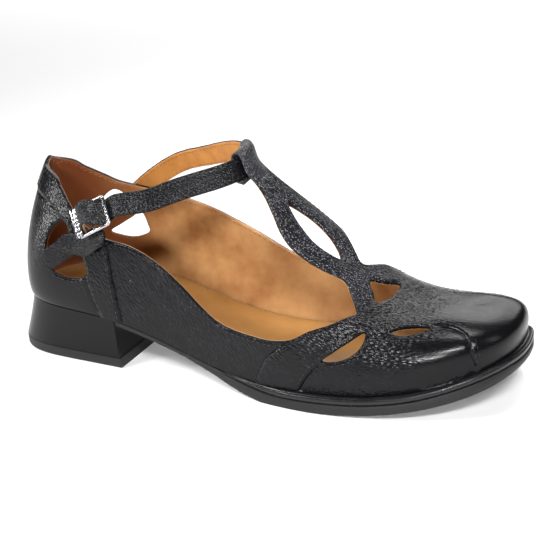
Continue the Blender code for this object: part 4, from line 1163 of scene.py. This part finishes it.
def stripSheet(rows, section, wave=None, taper=None):
    points, ahead, across, normal = frameAlong(rows)
    count = len(points)
    scale = np.ones(count) if taper is None else taper
    out = np.empty((count, len(section), 3))
    for k, (a, b) in enumerate(section):
        lift = b + (wave(np.arange(count) / (count - 1.0), a) if wave is not None else 0.0)
        out[:, k] = points + across * (a * scale)[:, None] + normal * (lift * np.ones(count))[:, None]
    return out


def closedStrip(points):
    mesh = gridSheet(points)
    bmesh.ops.remove_doubles(mesh, verts=mesh.verts[:], dist=0.000005)
    bmesh.ops.holes_fill(mesh, edges=mesh.edges[:], sides=100)
    return mesh


strapAway = wallOut + strapSizes["thick"] / 2 + 0.25
strapPath = [onWall(1, 41.0, 60.0, strapAway), onWall(1, 49.0, 67.5, strapAway)]
strapPath += [(60, 26.4, 77.2), (74, 24.9, 85.4), (88, 21.8, 90.2), (101.5, 16.6, 95.0), (113, 10.4, 98.2),
              (120.0, 4.4, 98.4), (122.4, -2.4, 97.6), (120.0, -9.4, 96.2), (111.6, -16.6, 93.8),
              (97.5, -22.8, 89.6), (84, -27.2, 84.8)]
strapPath += [buckleSpot(a, b) for a, b in ((15.5, -1.6), (9.2, -2.1), (5.4, 0.9), (2.2, 3.6), (-1.0, 4.2),
                                            (-4.4, 2.8), (-7.4, -1.2), (-9.2, -2.3))]
# the strap is drawn up where it arches over the centre bar
for row, lift in ((-5, 1.4), (-4, 2.6), (-3, 1.6)):
    strapPath[row] = tuple(np.array(strapPath[row]) + np.array(buckleUp) * lift)
strapLean = [(-0.62, -0.3, 0.72), (-0.55, -0.3, 0.78), (-0.45, -0.3, 0.84),
             (-0.42, -0.25, 0.87), (-0.35, -0.2, 0.92), (-0.28, -0.1, 0.95), (-0.2, 0, 0.98),
             (-0.15, 0, 0.99), (-0.15, 0.05, 0.99), (-0.15, 0.1, 0.98), (-0.2, 0.15, 0.97),
             (-0.25, 0.2, 0.94), (-0.35, 0.28, 0.9)] + [tuple(buckleUp)] * 8
strapRows = pathThrough(np.hstack([np.array(strapPath), np.array(strapLean)]), 420)


def strapWave(t, a):
    # gathers near the buckle and small ripples on the far side, deepest mid width
    near = np.exp(-((t - 0.80) / 0.035) ** 2)
    far = np.exp(-((t - 0.28) / 0.14) ** 2)
    return (0.16 * near * np.sin(t * 2 * math.pi * 95 + a * 0.25)
            + 0.10 * far * np.sin(t * 2 * math.pi * 22 + a * 0.3))


half = strapSizes["thick"] / 2
# the strap's normal points to the foot, so the backing is on the high side
backing = half - strapSizes["backing"]
outerSection = roundedFlat(strapSizes["width"], -half, backing, 0.5)
innerSection = roundedFlat(strapSizes["width"] - 0.5, backing - 0.02, half, 0.25)
t = np.linspace(0, 1, len(strapRows))
strapTaper = 1.0 + 0.14 * softStep(t, 0.87, 0.90) - 0.16 * np.exp(-((t - 0.955) / 0.02) ** 2)
mesh = closedStrip(stripSheet(strapRows, outerSection, strapWave, strapTaper))
finishPiece("strapLeather", mesh, strapLeather, ("ankle_strap",), sharp=50)
mesh = closedStrip(stripSheet(strapRows, innerSection, strapWave))
finishPiece("strapBacking", mesh, strapBacking, sharp=50)


def stripStitches(rows, offset, lift):
    points, ahead, across, normal = frameAlong(rows)
    line = points + across * offset + normal * lift
    run = runAlong(line)
    at = np.arange(0.0, run[-1], stitchLook["pitch"])
    up = readTable(at, run, normal) * (1 if lift > 0 else -1)
    return stitchFrames(readTable(at, run, line), up, np.ones(len(at), bool))


strapFrames, backFrames = [], []
for offset in (-3.7, 3.7):
    strapFrames += stripStitches(strapRows, offset, -(half + 0.05))
    backFrames += stripStitches(strapRows, offset, half + 0.03)
sewStitches("strapStitches", strapFrames, blackThread)
sewStitches("strapBackStitches", backFrames, tanThread)
print("strap built")

# loop at the top of the T bar

loopLook = {"thick": 1.1, "from": -8.2, "to": 5.6}
nearCrown = strapRows[strapRows[:, 0] > 108]
crownXs, crownY, crownZs = nearCrown[np.argsort(nearCrown[:, 1]), :3].T
loopSection = ((8.0, -8.2), (6.6, -6.0), (4.8, -2.8), (3.5, 0.6), (2.8, 3.2), (1.9, 5.6), (0.0, 6.7),
               (-1.7, 5.6), (-2.1, 3.0), (-2.1, -2.6), (-1.7, -4.6), (-0.8, -5.6), (0.4, -5.9), (1.6, -6.1),
               (2.8, -6.5))


def loopSheet():
    across = np.linspace(loopLook["from"], loopLook["to"], 30)
    rows = []
    for y in across:
        share = (y - loopLook["from"]) / (loopLook["to"] - loopLook["from"])
        cx, cz = np.interp(y, crownY, crownXs), np.interp(y, crownY, crownZs)
        tilt = cx - 122.4
        control = []
        for dx, dz in loopSection:
            pinch = softStep(dx, 3.0, 9.0)
            control.append((cx + dx - tilt * pinch, y * (1 - 0.08 * pinch) + 1.2 * pinch,
                            cz + dz + 0.9 * math.sin(share * math.pi)))
        rows.append(pathThrough(control, 70))
    return np.array(rows)


mesh = gridSheet(loopSheet())
bmesh.ops.recalc_face_normals(mesh, faces=mesh.faces[:])
bmesh.ops.solidify(mesh, geom=mesh.faces[:], thickness=loopLook["thick"] / 1000.0)
rim = [e for e in mesh.edges if e.calc_face_angle(0) > 1.0]
bmesh.ops.bevel(mesh, geom=rim, offset=0.00035, segments=2, affect="EDGES", profile=0.5, material=-1,
                clamp_overlap=True)
finishPiece("loopLeather", mesh, loopLeather, ("strap_loop",), sharp=50)

# tab and buckle

tabPath = [onWall(-1, x, z, wallOut + 0.9) for x, z in ((29.5, 50.2), (37, 55.4), (43.5, 60.0))]
tabPath += [(50.5, -30.9, 60.8), (57.0, -31.9, 65.0), (63.8, -32.4, 68.8)]
tabLean = [(-0.55, 0.1, 0.83), (-0.55, 0.15, 0.82), (-0.52, 0.2, 0.83), (-0.48, 0.3, 0.82),
           (-0.45, 0.34, 0.82), (-0.45, 0.36, 0.82)]
tabRows = pathThrough(np.hstack([np.array(tabPath), np.array(tabLean)]), 90)
t = np.linspace(0, 1, 90)
tabTaper = np.where(t > 0.88, np.sqrt(np.clip(1 - ((t - 0.88) / 0.12) ** 2, 0.02, 1)), 1.0)
mesh = closedStrip(stripSheet(tabRows, roundedFlat(9.8, -0.65, 0.65, 0.45), None, tabTaper))
finishPiece("tabLeather", mesh, strapLeather, ("buckle_tab",), sharp=50)

buckleLook = {"length": 20.0, "height": 14.6, "rod": 0.8, "corner": 1.1, "treadAt": -8.3}


def rodAlong(points, radius, closed=False):
    # a rod swept through points
    points = np.asarray(points, float)
    around = np.roll(points, -1, axis=0) - np.roll(points, 1, axis=0)
    ahead = around if closed else np.gradient(points, axis=0)
    ahead /= np.linalg.norm(ahead, axis=1, keepdims=True)
    sideways = np.cross(ahead, buckleOut)
    sideways /= np.linalg.norm(sideways, axis=1, keepdims=True)
    up = np.cross(sideways, ahead)
    out = np.stack([points + (sideways * math.cos(a) + up * math.sin(a)) * radius
                    for a in np.linspace(0, 2 * math.pi, 11)], axis=1)
    return np.concatenate([out, out[:1]]) if closed else out


def roundedLoop(halfLong, halfHigh, corner):
    spots = []
    for k, (sx, sy) in enumerate(((1, 1), (-1, 1), (-1, -1), (1, -1))):
        for a in np.radians(np.linspace(90 * k, 90 * k + 90, 6)):
            spots.append((sx * (halfLong - corner) + corner * math.cos(a),
                          sy * (halfHigh - corner) + corner * math.sin(a)))
    return np.array(spots)


rod = buckleLook["rod"]
frameLoop = roundedLoop(buckleLook["length"] / 2 - rod, buckleLook["height"] / 2 - rod, buckleLook["corner"])
mesh = gridSheet(rodAlong([buckleSpot(a, 0.0, b) for a, b in frameLoop], rod, closed=True))
finishPiece("buckleFrame", mesh, nickel, ("buckle_frame",), sharp=60)

turn = Matrix((tuple(buckleAlong), tuple(buckleUp), tuple(buckleOut))).transposed().to_4x4()


def treadBlock(mesh, along, out, up, size, edge):
    # a pressed block on the buckle's left bar, its edges rounded by edge mm
    spot = buckleSpot(buckleLook["treadAt"] + along, out, up)
    where = Matrix.Translation(Vector(toFrame(spot))) @ turn
    where = where @ Matrix.Diagonal([v / 1000 for v in size] + [1.0])
    made = bmesh.ops.create_cube(mesh, size=1.0, matrix=where)
    edges = list({e for v in made["verts"] for e in v.link_edges})
    bmesh.ops.bevel(mesh, geom=edges, offset=edge / 1000, segments=2, affect="EDGES", profile=0.5,
                    material=-1, clamp_overlap=True)


# two rows of small pads between raised rims
mesh = bmesh.new()
for column in (-0.95, 0.95):
    for row in range(6):
        treadBlock(mesh, column, 1.0, -5.0 + row * 2.0, (1.4, 1.5, 0.9), 0.25)
for column in (-1.9, 0.0, 1.9):
    treadBlock(mesh, column, 0.9, 0.0, (0.5, 13.6, 1.4), 0.18)
treadBlock(mesh, 0.0, 0.5, 0.0, (4.2, 13.6, 1.0), 0.3)
finishPiece("buckleTread", mesh, nickel, sharp=40, merge=0.0)
barPoints = [buckleSpot(0, 0, up) for up in np.linspace(-6.4, 6.4, 9)]
mesh = closedStrip(rodAlong(barPoints, rod))
finishPiece("buckleBar", mesh, nickel, ("buckle_bar",), sharp=60)
print("loop, tab and buckle built")

# floor, light and camera

mesh = bmesh.new()
bmesh.ops.create_grid(mesh, x_segments=4, y_segments=4, size=6.0)
data = bpy.data.meshes.new("floor")
mesh.to_mesh(data)
mesh.free()
floor = bpy.data.objects.new("floor", data)
bpy.context.scene.collection.objects.link(floor)
material, tree, shader = newMaterial("paleFloor")
shader.inputs["Base Color"].default_value = linearColour("#f4f4f4")
shader.inputs["Roughness"].default_value = 0.7
shader.inputs["Specular IOR Level"].default_value = 0.2
data.materials.append(material)

lightLook = (
    # name, place, aim, size, power, spread in degrees
    ("overheadSoftbox", (0.08, 0.20, 0.75), (0.08, 0.14, 0.0), (0.34, 0.26), 0.60, 70),
    ("backSoftbox", (-0.9, 1.9, 1.2), (-0.3, 0.8, 0.0), (3.6, 1.1), 30.0, 150),
    ("leftSoftbox", (-1.0, -0.40, 0.30), (-0.05, 0.0, 0.05), (0.10, 0.5), 0.7, 60),
    ("frontSoftbox", (0.50, -0.86, 0.86), (0.05, 0.0, 0.03), (0.50, 0.12), 1.9, 60),
    ("backdropSoftbox", (-0.6, 2.2, 1.7), (-0.4, 1.05, 0.0), (3.4, 0.5), 7, 40),
    ("lowFrontSoftbox", (0.30, -1.15, 0.50), (0.05, 0.0, 0.03), (0.30, 0.08), 0.8, 50),
    ("grainSoftbox", (-0.70, -0.80, 0.95), (-0.03, 0.0, 0.04), (0.25, 0.18), 0.9, 60),
    ("sideSoftbox", (0.95, 0.1, 0.55), (0.05, 0.0, 0.03), (0.3, 0.5), 0.3, 90),
)
for name, spot, aim, size, power, spread in lightLook:
    light = bpy.data.lights.new(name, "AREA")
    light.shape = "RECTANGLE"
    light.size, light.size_y = size
    light.energy = power
    light.spread = math.radians(spread)
    lamp = bpy.data.objects.new(name, light)
    bpy.context.scene.collection.objects.link(lamp)
    lamp.location = spot
    lamp.rotation_euler = (Vector(aim) - Vector(spot)).to_track_quat("-Z", "Y").to_euler()

world = bpy.data.worlds.new("studio")
world.use_nodes = True
world.node_tree.nodes["Background"].inputs["Color"].default_value = (0.9, 0.92, 0.95, 1.0)
world.node_tree.nodes["Background"].inputs["Strength"].default_value = 0.02
bpy.context.scene.world = world
bpy.context.scene.view_settings.view_transform = "Standard"

cameraLook = {"azimuth": 27.2, "elevation": 22.8, "roll": -3.8, "target": (133.0, 2.4, 41.0),
              "distance": 700.0, "focal": 1535.0}
az, el, tip = (math.radians(cameraLook[k]) for k in ("azimuth", "elevation", "roll"))
back = Vector((math.sin(az) * math.cos(el), -math.cos(az) * math.cos(el), math.sin(el)))
aim = Vector(toFrame(cameraLook["target"]))
right = (-back).cross(Vector((0, 0, 1))).normalized()
up = right.cross(-back)
right2 = right * math.cos(tip) + up * math.sin(tip)
up2 = up * math.cos(tip) - right * math.sin(tip)
lens = bpy.data.cameras.new("photoCamera")
lens.sensor_width = 36.0
lens.sensor_fit = "HORIZONTAL"
lens.lens = cameraLook["focal"] / 560.0 * 36.0
lens.clip_start = 0.01
camera = bpy.data.objects.new("photoCamera", lens)
bpy.context.scene.collection.objects.link(camera)
place = aim + back * cameraLook["distance"] / 1000.0
camera.matrix_world = Matrix(((right2.x, up2.x, back.x, place.x), (right2.y, up2.y, back.y, place.y),
                              (right2.z, up2.z, back.z, place.z), (0, 0, 0, 1)))
bpy.context.scene.camera = camera
